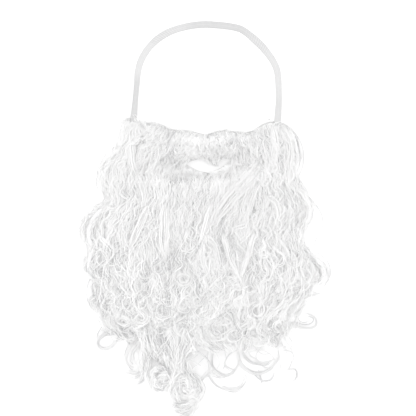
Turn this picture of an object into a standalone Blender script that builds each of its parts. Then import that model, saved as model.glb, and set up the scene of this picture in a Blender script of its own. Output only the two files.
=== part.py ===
# A fake beard of long wavy white hair, lying face up on a flat surface with its elastic laid out above it.
# Metres. +X is to the viewer's right, +Y points from the beard to the elastic, +Z is up from the surface.
# The origin is on the back of the cloth, under the chin.

import math

import bpy
from mathutils import Vector

# Sizes that drive the rest
CLOTH_THICKNESS = 0.002
GAP = 0.0004            # clearance that neighbouring pieces keep
HEM_RADIUS = 0.0017
TAPE_WIDTH = 0.0085
TAPE_THICKNESS = 0.0012
TAPE_LAP = 0.014        # length of tape sewn down on the cloth at each end
LOCK_SIDES = 6
SHAFT_STEP = 0.013      # spacing of the stations along a lock's shaft
CURL_STATIONS = 8       # stations in one full turn of a curl
HAIR_BASE = CLOTH_THICKNESS + GAP
CLOTH_MARGIN = 0.002    # how far the hollow under the hair reaches past the cloth's rim
EDGE_STEP = 0.006       # spacing of the points along the cloth's rim
ABOVE_ALL = 0.08        # taller than the deepest hair
BELOW_ALL = -0.01

# The mouth opening is a smile-shaped lens between two tips
MOUTH_LEFT = Vector((-0.026, 0.028, 0))
MOUTH_RIGHT = Vector((0.035, 0.033, 0))
MOUTH_DROP = 0.0135     # how far the lower edge sags under the line between the tips
MOUTH_RISE = 0.0035     # how far the upper edge bulges over it
MOUTH_STEPS = 14        # points along each of its two edges

# The upper edge of the cloth, from the left cheek corner to the right one: x, y
TOP_EDGE = [
    (-0.108, 0.080),
    (-0.098, 0.086),
    (-0.084, 0.080),
    (-0.060, 0.078),
    (-0.045, 0.071),
    (-0.020, 0.069),
    (0.000, 0.064),
    (0.014, 0.068),
    (0.028, 0.070),
    (0.045, 0.067),
    (0.062, 0.069),
    (0.074, 0.077),
    (0.086, 0.081),
    (0.100, 0.079),
    (0.112, 0.070),
]

# The rest of the cloth's outline, down the right cheek, round the chin and up the left cheek: x, y
LOWER_EDGE = [
    (0.114, 0.040),
    (0.106, -0.015),
    (0.082, -0.055),
    (0.045, -0.078),
    (0.000, -0.086),
    (-0.045, -0.078),
    (-0.082, -0.055),
    (-0.106, -0.015),
    (-0.115, 0.040),
]

# The bed of packed hair that the locks grow from, in sections down the beard: y, left, right, crown
BED_SECTIONS = [
    (0.090, -0.104, 0.106, 0.008),
    (0.070, -0.110, 0.115, 0.013),
    (0.040, -0.117, 0.118, 0.019),
    (0.005, -0.127, 0.118, 0.025),
    (-0.030, -0.129, 0.124, 0.029),
    (-0.065, -0.142, 0.126, 0.031),
    (-0.100, -0.145, 0.132, 0.031),
    (-0.135, -0.134, 0.124, 0.029),
    (-0.170, -0.120, 0.108, 0.026),
    (-0.200, -0.096, 0.090, 0.021),
    (-0.222, -0.070, 0.058, 0.015),
    (-0.238, -0.044, 0.024, 0.008),
]
BED_ARCH_POINTS = 10

# The moustache's bed, in sections across the lip: x, lower y, upper y, crown
LIP_SECTIONS = [
    (-0.062, 0.034, 0.082, 0.009),
    (-0.042, 0.030, 0.078, 0.014),
    (-0.020, 0.029, 0.076, 0.017),
    (0.000, 0.029, 0.070, 0.016),
    (0.020, 0.031, 0.074, 0.017),
    (0.042, 0.031, 0.074, 0.014),
    (0.066, 0.036, 0.076, 0.009),
]
LIP_ARCH_POINTS = 7

# Where the moustache ends and the cheek hair begins, outwards from the mouth's tips: x, y
LIP_LEFT_SEAM = [(-0.050, 0.034), (-0.059, 0.054), (-0.060, 0.100)]
LIP_RIGHT_SEAM = [(0.055, 0.039), (0.064, 0.056), (0.064, 0.100)]

# Rows of hair sewn down the beard. Each fans out evenly from its roots to its ends.
# name, count, root y, root left x, root right x, end y, end left x, end right x, width, thickness, sway
TIERS = [
    ("left_cheek", 3, 0.072, -0.098, -0.068, -0.050, -0.118, -0.062, 0.017, 0.009, 0.006),
    ("right_cheek", 3, 0.068, 0.072, 0.104, -0.055, 0.068, 0.116, 0.017, 0.009, 0.006),
    ("chin", 5, 0.010, -0.036, 0.042, -0.100, -0.052, 0.050, 0.017, 0.010, 0.005),
    ("middle", 7, -0.050, -0.112, 0.108, -0.158, -0.116, 0.104, 0.021, 0.010, 0.009),
    ("lower", 8, -0.125, -0.108, 0.100, -0.208, -0.098, 0.086, 0.020, 0.010, 0.010),
]
TIER_WAVES = 3.0        # half waves along each of these locks
TIER_HOOK_RADIUS = 0.010
TIER_HOOK_TURNS = 0.45

# Locks that make the outline: they run from a root to a curl and wind round its centre.
# name, root x, root y, centre x, centre y, radius, turns (+ is anticlockwise), width, thickness, sway, half waves
OUTLINE_LOCKS = [
    ("left_upper_wave", -0.100, 0.074, -0.128, 0.000, 0.012, -0.60, 0.016, 0.010, 0.006, 2.0),
    ("left_middle_wave", -0.106, 0.020, -0.144, -0.055, 0.015, -0.60, 0.019, 0.011, 0.007, 2.0),
    ("left_lower_wave", -0.120, -0.040, -0.145, -0.104, 0.014, -0.55, 0.018, 0.011, 0.006, 2.0),
    ("left_high_curl", -0.112, -0.100, -0.138, -0.149, 0.010, 0.70, 0.012, 0.009, 0.006, 2.0),
    ("left_low_curl", -0.104, -0.135, -0.124, -0.180, 0.011, 0.60, 0.014, 0.009, 0.006, 2.0),
    ("left_loop", -0.092, -0.160, -0.127, -0.203, 0.010, 0.80, 0.006, 0.006, 0.004, 1.0),
    ("left_tuft", -0.080, -0.185, -0.094, -0.236, 0.008, 0.55, 0.012, 0.008, 0.006, 2.0),
    ("left_ball_curl", -0.058, -0.190, -0.060, -0.252, 0.010, -0.75, 0.013, 0.010, 0.006, 1.0),
    ("tail_curl", -0.026, -0.205, -0.020, -0.262, 0.014, 0.70, 0.018, 0.012, 0.004, 1.0),
    ("tail_tip", -0.030, -0.262, -0.030, -0.298, 0.007, 0.55, 0.011, 0.009, 0.003, 1.0),
    ("diamond_curl", -0.006, -0.205, -0.004, -0.228, 0.015, 0.60, 0.006, 0.006, 0.002, 1.0),
    ("right_ring", 0.020, -0.195, 0.026, -0.230, 0.014, -0.80, 0.006, 0.006, 0.002, 1.0),
    ("long_arc", 0.062, -0.205, 0.034, -0.250, 0.017, -0.55, 0.004, 0.004, 0.002, 1.0),
    ("right_inner_curl", 0.062, -0.170, 0.072, -0.222, 0.013, 0.75, 0.010, 0.008, 0.005, 1.0),
    ("right_inner_ring", 0.086, -0.198, 0.084, -0.241, 0.009, 0.70, 0.005, 0.005, 0.002, 1.0),
    ("right_wisp", 0.098, -0.165, 0.106, -0.214, 0.011, 0.70, 0.007, 0.007, 0.005, 2.0),
    ("right_loop", 0.100, -0.150, 0.127, -0.176, 0.012, 0.80, 0.006, 0.006, 0.003, 1.0),
    ("right_low_wave", 0.112, -0.075, 0.120, -0.140, 0.010, 0.55, 0.014, 0.010, 0.006, 2.0),
    ("right_lower_wave", 0.104, -0.040, 0.140, -0.108, 0.014, -0.70, 0.016, 0.010, 0.006, 2.0),
    ("right_middle_wave", 0.106, 0.020, 0.122, -0.040, 0.012, -0.60, 0.017, 0.010, 0.006, 2.0),
    ("right_upper_wave", 0.098, 0.072, 0.106, 0.010, 0.012, -0.55, 0.018, 0.010, 0.004, 1.0),
]

# Locks of the moustache: name, root x, root y, end x, end y, width, thickness
LIP_LOCKS = [
    ("lip_left_outer", -0.024, 0.067, -0.066, 0.051, 0.015, 0.008),
    ("lip_left_middle", -0.014, 0.064, -0.056, 0.038, 0.016, 0.009),
    ("lip_left_inner", -0.004, 0.058, -0.030, 0.034, 0.015, 0.009),
    ("lip_centre", 0.000, 0.056, -0.008, 0.034, 0.014, 0.008),
    ("lip_right_inner", 0.020, 0.060, 0.038, 0.036, 0.015, 0.009),
    ("lip_right_middle", 0.030, 0.064, 0.060, 0.042, 0.016, 0.009),
    ("lip_right_outer", 0.042, 0.066, 0.066, 0.058, 0.014, 0.008),
]
TUFT_ROOT = (0.002, 0.050)
TUFT_TIP = (0.015, 0.0225)
TUFT_WIDTH = 0.019
TUFT_THICKNESS = 0.007

# The elastic's route, from the left corner over the arch to the right corner: x, y, tilt in degrees
TAPE_ROUTE = [
    (-0.094, 0.072, 0),
    (-0.0925, 0.087, 0),
    (-0.090, 0.108, 30),
    (-0.088, 0.130, 25),
    (-0.087, 0.147, 15),
    (-0.083, 0.162, 10),
    (-0.074, 0.178, 15),
    (-0.061, 0.191, 10),
    (-0.045, 0.201, 0),
    (-0.026, 0.207, 0),
    (-0.006, 0.209, 0),
    (0.014, 0.208, 0),
    (0.035, 0.206, 0),
    (0.053, 0.200, 10),
    (0.069, 0.186, 0),
    (0.081, 0.173, 0),
    (0.090, 0.160, 10),
    (0.095, 0.147, 15),
    (0.0965, 0.130, 20),
    (0.097, 0.108, 25),
    (0.0955, 0.086, 0),
    (0.094, 0.066, 0),
]
TAPE_STEP = 0.006
TILT_CARRIER = 1e-6     # metres of height that carry one degree of tilt through the smoothing
TAPE_RISE = 0.020       # run over which the tape climbs from the surface to the hem


def clear_scene():
    for old in list(bpy.data.objects):
        bpy.data.objects.remove(old)


def make_material(name, colour, roughness):
    material = bpy.data.materials.new(name)
    material.use_nodes = True
    shader = material.node_tree.nodes["Principled BSDF"]
    shader.inputs["Base Color"].default_value = (*colour, 1.0)
    shader.inputs["Roughness"].default_value = roughness
    shader.inputs["Metallic"].default_value = 0.0
    return material


def make_object(name, points, faces, material=None, collection=None):
    mesh = bpy.data.meshes.new(name)
    mesh.from_pydata([tuple(p) for p in points], [], faces)
    mesh.update()
    made = bpy.data.objects.new(name, mesh)
    (collection or bpy.context.scene.collection).objects.link(made)
    if material:
        mesh.materials.append(material)
    return made


def as_guide(thing):
    """A cutter or a lock that a Boolean reads isn't a part of its own."""
    thing.hide_render = True
    thing.display_type = "WIRE"
    return thing


def add_boolean(target, operation, operand=None, collection=None):
    cut = target.modifiers.new(operation.lower(), "BOOLEAN")
    cut.operation = operation
    cut.solver = "EXACT"
    if collection:
        cut.operand_type = "COLLECTION"
        cut.collection = collection
    else:
        cut.object = operand


def smooth_curve(points, step):
    """Evenly spaced points on the smooth curve (Catmull-Rom) through the given ones."""
    last = len(points) - 1
    dense = []
    for i in range(last):
        a, b, c, d = (points[min(max(i + k, 0), last)] for k in (-1, 0, 1, 2))
        for k in range(12):
            t = k / 12
            dense.append(
                0.5 * (2 * b + (c - a) * t + (2 * a - 5 * b + 4 * c - d) * t * t
                       + (3 * b - a - 3 * c + d) * t * t * t)
            )
    dense.append(points[-1])
    return even_points(dense, step)


def even_points(dense, step):
    """Points at equal distances along a line of many short pieces."""
    lengths = [0.0]
    for a, b in zip(dense, dense[1:]):
        lengths.append(lengths[-1] + (b - a).length)
    pieces = max(2, round(lengths[-1] / step))
    found, k = [], 0
    for i in range(pieces + 1):
        wanted = lengths[-1] * i / pieces
        while k < len(dense) - 2 and lengths[k + 1] < wanted:
            k += 1
        span = max(lengths[k + 1] - lengths[k], 1e-9)
        found.append(dense[k].lerp(dense[k + 1], min(1.0, (wanted - lengths[k]) / span)))
    return found


def prism(name, outline, low, high, material=None):
    """A flat outline, anticlockwise seen from above, pulled straight up."""
    count = len(outline)
    points = [(p[0], p[1], low) for p in outline] + [(p[0], p[1], high) for p in outline]
    faces = [tuple(reversed(range(count))), tuple(range(count, 2 * count))]
    for i in range(count):
        j = (i + 1) % count
        faces.append((i, j, j + count, i + count))
    return make_object(name, points, faces, material)


def swept(name, path, widths, heights, tilts=None, sides=LOCK_SIDES, pointed=True, square=False,
          material=None, collection=None):
    """A flattened tube along a path. Its width lies in the surface's plane unless it is tilted."""
    points, faces = [], []
    last = len(path) - 1
    for i, centre in enumerate(path):
        along = (path[min(i + 1, last)] - path[max(i - 1, 0)]).normalized()
        side = Vector((0, 0, 1)).cross(along).normalized()
        up = along.cross(side)
        tilt = math.radians(tilts[i]) if tilts else 0.0
        across = side * math.cos(tilt) + up * math.sin(tilt)
        over = up * math.cos(tilt) - side * math.sin(tilt)
        for k in range(sides):
            if square:
                c, s = [(1, -1), (1, 1), (-1, 1), (-1, -1)][k]
            else:
                angle = 2 * math.pi * k / sides
                c, s = math.cos(angle), math.sin(angle)
            points.append(centre + across * (c * widths[i] / 2) + over * (s * heights[i] / 2))
    rings = len(path)
    for i in range(rings - 1):
        for k in range(sides):
            n = (k + 1) % sides
            faces.append((i * sides + k, i * sides + n, (i + 1) * sides + n, (i + 1) * sides + k))
    faces.append(tuple(reversed(range(sides))))
    top = (rings - 1) * sides
    if pointed:
        tip = len(points)
        points.append(path[-1] + (path[-1] - path[-2]).normalized() * widths[-1] * 0.6)
        for k in range(sides):
            faces.append((top + k, top + (k + 1) % sides, tip))
    else:
        faces.append(tuple(range(top, top + sides)))
    return make_object(name, points, faces, material, collection)


def lofted(name, rings, material):
    """A closed solid through rings of equal count, with a flat cap on the first and the last."""
    count = len(rings[0])
    points = [p for ring in rings for p in ring]
    faces = [tuple(range(count)), tuple(reversed(range((len(rings) - 1) * count, len(points))))]
    for i in range(len(rings) - 1):
        for k in range(count):
            n = (k + 1) % count
            a, b = i * count, (i + 1) * count
            faces.append((a + k, b + k, b + n, a + n))
    return make_object(name, points, faces, material)


def arch(u):
    """The height of a hair bed across its width, 1 in the middle and 0 at the rims (u is -1 to 1)."""
    return max(0.0, 1 - abs(u) ** 2.4) ** 0.5


def section_at(table, place):
    """The named sizes of a bed, read between the two rows on either side of a place."""
    rows = sorted(table)
    place = min(max(place, rows[0][0]), rows[-1][0])
    for a, b in zip(rows, rows[1:]):
        if a[0] <= place <= b[0]:
            t = (place - a[0]) / (b[0] - a[0])
            return [a[k] + (b[k] - a[k]) * t for k in range(1, 4)]
    return list(rows[-1][1:])


def bed_height(x, y):
    left, right, crown = section_at(BED_SECTIONS, y)
    fade = 1.0 if y > BED_SECTIONS[-1][0] else max(0.0, 1 + (y - BED_SECTIONS[-1][0]) / 0.02)
    return crown * fade * arch((2 * x - left - right) / (right - left))


def lip_height(x, y):
    low, high, crown = section_at(LIP_SECTIONS, x)
    return HAIR_BASE + crown * arch((2 * y - low - high) / (high - low))


def curl_entry(root, centre, radius, turns):
    """The angle at which a lock from root meets its curl, so that it runs into it smoothly."""
    away = root - centre
    reach = math.acos(min(1.0, radius / away.length))
    return math.atan2(away.y, away.x) + math.copysign(reach, turns)


def outline_lock(row):
    """The path, widths and heights of a lock that ends round a curl."""
    name, root_x, root_y, centre_x, centre_y, radius, turns, width, thickness, sway, waves = row
    root, centre = Vector((root_x, root_y, 0)), Vector((centre_x, centre_y, 0))
    start = curl_entry(root, centre, radius, turns)
    entry = centre + Vector((math.cos(start), math.sin(start), 0)) * radius
    along = entry - root
    side = Vector((-along.y, along.x, 0)).normalized()
    flat = []
    steps = max(4, round(along.length / SHAFT_STEP))
    for i in range(steps):
        t = i / steps
        flat.append(root + along * t + side * (sway * math.sin(math.pi * waves * t) * t * (1 - t) * 4))
    turns_steps = max(4, round(abs(turns) * CURL_STATIONS))
    for i in range(turns_steps + 1):
        t = i / turns_steps
        angle = start + 2 * math.pi * turns * t
        flat.append(centre + Vector((math.cos(angle), math.sin(angle), 0)) * radius * (1 - 0.25 * t))
    return path_on_bed(flat, width, thickness)


def tier_lock(row, index):
    """The path, widths and heights of one lock of a sewn row."""
    name, count, root_y, root_left, root_right, end_y, end_left, end_right, width, thickness, sway = row
    share = index / (count - 1)
    root = Vector((root_left + (root_right - root_left) * share, root_y, 0))
    end = Vector((end_left + (end_right - end_left) * share, end_y, 0))
    hand = 1 if index % 2 else -1
    along = end - root
    side = Vector((-along.y, along.x, 0)).normalized()
    flat = []
    steps = max(5, round(along.length / SHAFT_STEP))
    for i in range(steps + 1):
        t = i / steps
        swing = hand * sway * math.sin(math.pi * TIER_WAVES * t + index) * t
        flat.append(root + along * t + side * swing)
    heading = math.atan2(flat[-1].y - flat[-2].y, flat[-1].x - flat[-2].x)
    for i in range(1, 4):
        heading += hand * 2 * math.pi * TIER_HOOK_TURNS / 3
        flat.append(flat[-1] + Vector((math.cos(heading), math.sin(heading), 0)) * TIER_HOOK_RADIUS)
    return path_on_bed(flat, width, thickness)


def path_on_bed(flat, width, thickness):
    """Lays a flat line on the hair bed, or on the surface beyond it, and tapers the lock along it."""
    path, widths, heights = [], [], []
    last = len(flat) - 1
    for i, p in enumerate(flat):
        t = i / last
        taper = min(1.0, 0.55 + 2.2 * t) * (1.0 if t < 0.6 else 1.0 - 1.3 * (t - 0.6))
        height = thickness * taper
        path.append(Vector((p.x, p.y, max(bed_height(p.x, p.y) - 0.1 * height, height * 0.45))))
        widths.append(width * taper)
        heights.append(height)
    return path, widths, heights


def mouth_outline():
    """The lens of the mouth opening, anticlockwise: its lower edge, then its upper one."""
    lower, upper = [], []
    for i in range(MOUTH_STEPS):
        t = i / MOUTH_STEPS
        swell = math.sin(math.pi * t)
        lower.append(MOUTH_LEFT.lerp(MOUTH_RIGHT, t) - Vector((0, MOUTH_DROP * swell, 0)))
        upper.append(MOUTH_RIGHT.lerp(MOUTH_LEFT, t) + Vector((0, MOUTH_RISE * swell, 0)))
    return lower + upper


def lip_region(shrink, top=None):
    """The outline inside which the moustache lies, anticlockwise, drawn in from its seams by shrink.
    Its upper side is straight, or follows the line given as top."""
    left = [Vector((x + shrink, y + shrink, 0)) for x, y in reversed(LIP_LEFT_SEAM)]
    right = [Vector((x - shrink, y + shrink, 0)) for x, y in LIP_RIGHT_SEAM]
    upper_lip = [p + Vector((0, shrink, 0)) for p in reversed(mouth_outline()[MOUTH_STEPS:])]
    upper_lip.append(MOUTH_LEFT + Vector((0, shrink, 0)))
    upper_lip.sort(key=lambda p: p.x)
    if top:
        left, right = left[1:], right[:-1]
        right += [p for p in reversed(top) if left[0].x < p.x < right[-1].x]
    return left + upper_lip + right


def edge_line(step, outward):
    """The cloth's upper edge as a smooth line, moved outwards (up the page)."""
    line = smooth_curve([Vector((x, y, 0)) for x, y in TOP_EDGE], step)
    moved = []
    last = len(line) - 1
    for i, p in enumerate(line):
        along = (line[min(i + 1, last)] - line[max(i - 1, 0)]).normalized()
        moved.append(p + Vector((-along.y, along.x, 0)) * outward)
    return moved


def cloth_outline():
    """The cloth's whole outline, anticlockwise."""
    top = edge_line(EDGE_STEP, 0.0)
    corners = [top[-1]] + [Vector((x, y, 0)) for x, y in LOWER_EDGE] + [top[0]]
    lower = smooth_curve(corners, EDGE_STEP)
    return list(reversed(top + lower[1:-1]))


def build_backing(material):
    backing = prism("backing_cloth", cloth_outline(), 0.0, CLOTH_THICKNESS, material)
    add_boolean(backing, "DIFFERENCE", as_guide(prism("mouth_cutter", mouth_outline(), BELOW_ALL, ABOVE_ALL)))
    return backing


def build_hem(material):
    line = edge_line(EDGE_STEP, HEM_RADIUS + GAP)
    path = [Vector((p.x, p.y, HEM_RADIUS)) for p in line]
    thick = [2 * HEM_RADIUS] * len(path)
    hem = swept("top_hem", path, thick, thick, pointed=False, material=material)
    return hem


def tape_height(y, left_end):
    """How high the tape's underside is: on the surface, then over the hem, then down on the cloth."""
    hem_y = 0.087 if left_end else 0.082
    over_hem = 2 * HEM_RADIUS + GAP
    if y > hem_y:
        rise = min(1.0, (y - hem_y) / TAPE_RISE)
        return over_hem * (1 - rise * rise * (3 - 2 * rise))
    fall = min(1.0, (hem_y - y) / TAPE_LAP)
    return over_hem + (HAIR_BASE - over_hem) * fall


def build_elastic(material):
    line = smooth_curve([Vector((x, y, tilt * TILT_CARRIER)) for x, y, tilt in TAPE_ROUTE], TAPE_STEP)
    path, tilts = [], []
    for p in line:
        tilt = max(0.0, p.z / TILT_CARRIER)
        lift = TAPE_WIDTH / 2 * math.sin(math.radians(tilt)) + TAPE_THICKNESS / 2
        path.append(Vector((p.x, p.y, tape_height(p.y, p.x < 0) + lift)))
        tilts.append(tilt)
    count = len(path)
    return swept("elastic_band", path, [TAPE_WIDTH] * count, [TAPE_THICKNESS] * count, tilts,
                 sides=4, pointed=False, square=True, material=material)


def arch_ring(place, low, high, crown, base, points, along_y):
    """One section of a bed: a flat bottom and an arched top."""
    ring = []
    for k in range(points):
        u = -math.cos(math.pi * k / (points - 1))
        across = (low + high) / 2 + u * (high - low) / 2
        height = base + crown * arch(u) + 0.001
        ring.append((across, place, height) if along_y else (place, across, height))
    ring.append((high, place, base) if along_y else (place, high, base))
    ring.append((low, place, base) if along_y else (place, low, base))
    return ring


def clearance_cutters():
    """What the hair keeps clear of: the hem with all above it, the tape's sewn ends, and the cloth."""
    edge = edge_line(EDGE_STEP, -GAP)
    above = [Vector((edge[0].x - 0.03, edge[0].y, 0))] + edge + [Vector((edge[-1].x + 0.03, edge[-1].y, 0))]
    above += [Vector((0.16, 0.14, 0)), Vector((-0.16, 0.14, 0))]
    cutters = [prism("hem_clearance", above, BELOW_ALL, ABOVE_ALL)]
    for name, x, y in (("left_tape_clearance", -0.0935, 0.078), ("right_tape_clearance", 0.0945, 0.072)):
        half = TAPE_WIDTH / 2 + 2 * GAP
        low = y - TAPE_LAP / 2 - 2 * GAP
        high = y + TAPE_LAP
        pocket = [(x - half, low), (x + half, low), (x + half, high), (x - half, high)]
        cutters.append(prism(name, pocket, BELOW_ALL, 2 * HEM_RADIUS + TAPE_THICKNESS + 3 * GAP))
    wider = [p + p.normalized() * CLOTH_MARGIN for p in cloth_outline()]
    cutters.append(prism("cloth_clearance", wider, BELOW_ALL, HAIR_BASE))
    return [as_guide(c) for c in cutters]


def build_beard(material):
    rings = []
    for y, left, right, crown in BED_SECTIONS:
        rings.append(arch_ring(y, left, right, crown, 0.0, BED_ARCH_POINTS, True))
    beard = lofted("beard_hair", rings, material)
    locks = bpy.data.collections.new("beard_locks")
    bpy.context.scene.collection.children.link(locks)
    for row in TIERS:
        for index in range(row[1]):
            path, widths, heights = tier_lock(row, index)
            as_guide(swept(f"{row[0]}_{index + 1}", path, widths, heights, collection=locks))
    for row in OUTLINE_LOCKS:
        path, widths, heights = outline_lock(row)
        as_guide(swept(row[0], path, widths, heights, collection=locks))
    add_boolean(beard, "UNION", collection=locks)
    opening = as_guide(prism("beard_mouth_cutter", mouth_outline(), BELOW_ALL, ABOVE_ALL))
    add_boolean(beard, "DIFFERENCE", opening)
    add_boolean(beard, "DIFFERENCE", as_guide(prism("lip_cutter", lip_region(0.0), BELOW_ALL, ABOVE_ALL)))
    for cutter in clearance_cutters():
        add_boolean(beard, "DIFFERENCE", cutter)
    return beard


def build_moustache(material):
    rings = []
    for x, low, high, crown in LIP_SECTIONS:
        rings.append(arch_ring(x, low, high, crown, HAIR_BASE, LIP_ARCH_POINTS, False))
    moustache = lofted("moustache_hair", rings, material)
    locks = bpy.data.collections.new("moustache_locks")
    bpy.context.scene.collection.children.link(locks)
    for name, root_x, root_y, end_x, end_y, width, thickness in LIP_LOCKS:
        root, end = Vector((root_x, root_y, 0)), Vector((end_x, end_y, 0))
        path = []
        for i in range(5):
            p = root.lerp(end, i / 4)
            path.append(Vector((p.x, p.y, lip_height(p.x, p.y))))
        widths = [width * k for k in (0.6, 0.9, 1.0, 0.9, 0.6)]
        heights = [thickness * k for k in (0.6, 0.9, 1.0, 0.9, 0.6)]
        as_guide(swept(name, path, widths, heights, collection=locks))
    add_boolean(moustache, "UNION", collection=locks)
    region = lip_region(GAP, edge_line(EDGE_STEP, -GAP))
    add_boolean(moustache, "INTERSECT", as_guide(prism("lip_bounds", region, BELOW_ALL, ABOVE_ALL)))
    root, tip = Vector((*TUFT_ROOT, 0)), Vector((*TUFT_TIP, 0))
    path = []
    for i, height in enumerate((0.016, 0.0175, 0.015, 0.011, 0.008)):
        p = root.lerp(tip, i / 4)
        path.append(Vector((p.x, p.y, height)))
    widths = [TUFT_WIDTH * k for k in (0.8, 1.0, 0.85, 0.55, 0.2)]
    heights = [TUFT_THICKNESS * k for k in (0.8, 1.0, 0.9, 0.7, 0.4)]
    add_boolean(moustache, "UNION", as_guide(swept("mouth_tuft", path, widths, heights)))
    return moustache


def main():
    clear_scene()
    hair = make_material("white_hair", (0.90, 0.90, 0.90), 0.45)
    cloth = make_material("white_cloth", (0.86, 0.86, 0.85), 0.85)
    elastic = make_material("white_elastic", (0.84, 0.84, 0.84), 0.70)
    build_backing(cloth)
    build_hem(cloth)
    build_elastic(elastic)
    build_beard(hair)
    build_moustache(hair)


main()
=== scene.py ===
import math
import random

import bmesh
import bpy
import numpy as np
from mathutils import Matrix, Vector


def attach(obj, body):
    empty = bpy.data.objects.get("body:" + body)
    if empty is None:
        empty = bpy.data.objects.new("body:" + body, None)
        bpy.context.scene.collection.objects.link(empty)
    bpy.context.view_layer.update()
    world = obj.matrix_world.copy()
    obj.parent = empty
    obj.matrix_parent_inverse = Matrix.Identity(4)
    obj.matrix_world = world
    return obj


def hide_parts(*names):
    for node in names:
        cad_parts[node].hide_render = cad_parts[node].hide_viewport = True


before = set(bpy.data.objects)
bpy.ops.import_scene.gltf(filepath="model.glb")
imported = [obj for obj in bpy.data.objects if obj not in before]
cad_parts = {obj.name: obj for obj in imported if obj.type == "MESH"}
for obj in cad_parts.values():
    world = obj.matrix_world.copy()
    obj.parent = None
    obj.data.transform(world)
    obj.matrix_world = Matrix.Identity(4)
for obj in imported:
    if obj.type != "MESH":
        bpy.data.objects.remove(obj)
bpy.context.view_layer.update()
print("frame loaded")

# Places read from the picture are in its pixels, and this turns them into metres
picture = {"step": 0.0013, "originX": 205, "originY": 185, "centre": 208, "size": 416}


def fromPicture(px, py, z=0.0):
    x = (px - picture["originX"]) * picture["step"]
    y = (picture["originY"] - py) * picture["step"]
    return Vector((x, y, z))


def toPicture(x, y):
    return picture["originX"] + x / picture["step"], picture["originY"] - y / picture["step"]


# Nodes: values as Python expressions, anything else through node()
class Wire:
    def __init__(self, tree, socket):
        self.tree = tree
        self.socket = socket

    def work(self, operation, a, b=0.0):
        return node(self.tree, "ShaderNodeMath", {"operation": operation}, {0: a, 1: b})

    def __add__(self, other):
        return self.work("ADD", self, other)

    def __radd__(self, other):
        return self.work("ADD", other, self)

    def __sub__(self, other):
        return self.work("SUBTRACT", self, other)

    def __rsub__(self, other):
        return self.work("SUBTRACT", other, self)

    def __mul__(self, other):
        return self.work("MULTIPLY", self, other)

    def __rmul__(self, other):
        return self.work("MULTIPLY", other, self)

    def __truediv__(self, other):
        return self.work("DIVIDE", self, other)

    def __rtruediv__(self, other):
        return self.work("DIVIDE", other, self)

    def __pow__(self, other):
        return self.work("POWER", self, other)

    def __gt__(self, other):
        return self.work("GREATER_THAN", self, other)

    def sin(self):
        return self.work("SINE", self)

    def cos(self):
        return self.work("COSINE", self)

    def least(self, other):
        return self.work("MINIMUM", self, other)

    def most(self, other):
        return self.work("MAXIMUM", self, other)

    def between(self, low, high):
        return self.most(low).least(high)


def node(tree, kind, settings=None, values=None, out=0):
    made = tree.nodes.new(kind)
    for name, value in (settings or {}).items():
        if name == "stops":
            ramp = made.color_ramp
            while len(ramp.elements) < len(value):
                ramp.elements.new(1.0)
            for element, (place, colour) in zip(ramp.elements, value):
                element.position = place
                element.color = colour
        else:
            setattr(made, name, value)
    for name, value in (values or {}).items():
        socket = made.inputs[name]
        if isinstance(value, Wire):
            tree.links.new(value.socket, socket)
        else:
            socket.default_value = value
    return Wire(tree, made.outputs[out])


def newMaterial(name, roughness, specular=0.5, sheen=0.0):
    material = bpy.data.materials.new(name)
    material.use_nodes = True
    shader = material.node_tree.nodes["Principled BSDF"]
    shader.inputs["Roughness"].default_value = roughness
    shader.inputs["Specular IOR Level"].default_value = specular
    shader.inputs["Sheen Weight"].default_value = sheen
    return material, material.node_tree, shader


def mixColours(tree, factor, a, b):
    return node(tree, "ShaderNodeMix", {"data_type": "RGBA"}, {0: factor, 6: a, 7: b}, out=2)


def readValue(tree, name):
    return node(tree, "ShaderNodeAttribute", {"attribute_name": name}, out=2)


def objectPlace(tree):
    place = node(tree, "ShaderNodeTexCoord", out=3)
    split = tree.nodes.new("ShaderNodeSeparateXYZ")
    tree.links.new(place.socket, split.inputs[0])
    return place, Wire(tree, split.outputs[0]), Wire(tree, split.outputs[1])


def colourWith(material, colour):
    tree = material.node_tree
    tree.links.new(colour.socket, tree.nodes["Principled BSDF"].inputs["Base Color"])
    return material


# Materials
# the hair is white: the dark strands of each look stand for the shadow lines between strands, painted shade
fibreLook = {"pale": (0.975, 0.975, 0.972, 1), "deep": (0.54, 0.54, 0.548, 1), "paintedShadeShare": 0.34,
             "roughness": 0.42}
lowLook = {"pale": (0.985, 0.985, 0.982, 1), "deep": (0.44, 0.44, 0.448, 1), "paintedShadeShare": 0.36,
           "roughness": 0.42}
# the loose hair is painted greyer than the rest of the white hair, as painted shade against the bright floor
looseShadedLook = {"pale": (0.80, 0.80, 0.80, 1), "deep": (0.48, 0.48, 0.49, 1), "paintedShadeShare": 0.50,
             "roughness": 0.42}
massLook = {"pale": (0.95, 0.95, 0.947, 1), "deep": (0.70, 0.70, 0.71, 1), "roughness": 0.5,
            "stripes": 42.0, "alongScale": 3.0, "toneScale": 40.0, "dark": 0.38, "contrast": 4.0}
# what makes a strand pale or dark, and how strongly: its dark strands and darker roots are painted shade, its
# spots painted highlights and painted shade
fibreMix = {"patchScale": 38.0, "patches": 0.9, "tone": 0.75, "lockTone": 0.35, "spots": 0.45,
            "spotEdge": 1.3, "rootShadeRun": 6.0, "root": 0.15, "roughness": 0.14}
tape = {"width": 0.0085, "thickness": 0.0012, "step": 0.0030, "ribs": 8, "rise": 0.020, "lap": 0.014,
        "leftHemY": 0.087, "rightHemY": 0.082, "overHem": 0.0038, "onCloth": 0.0024}
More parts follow.
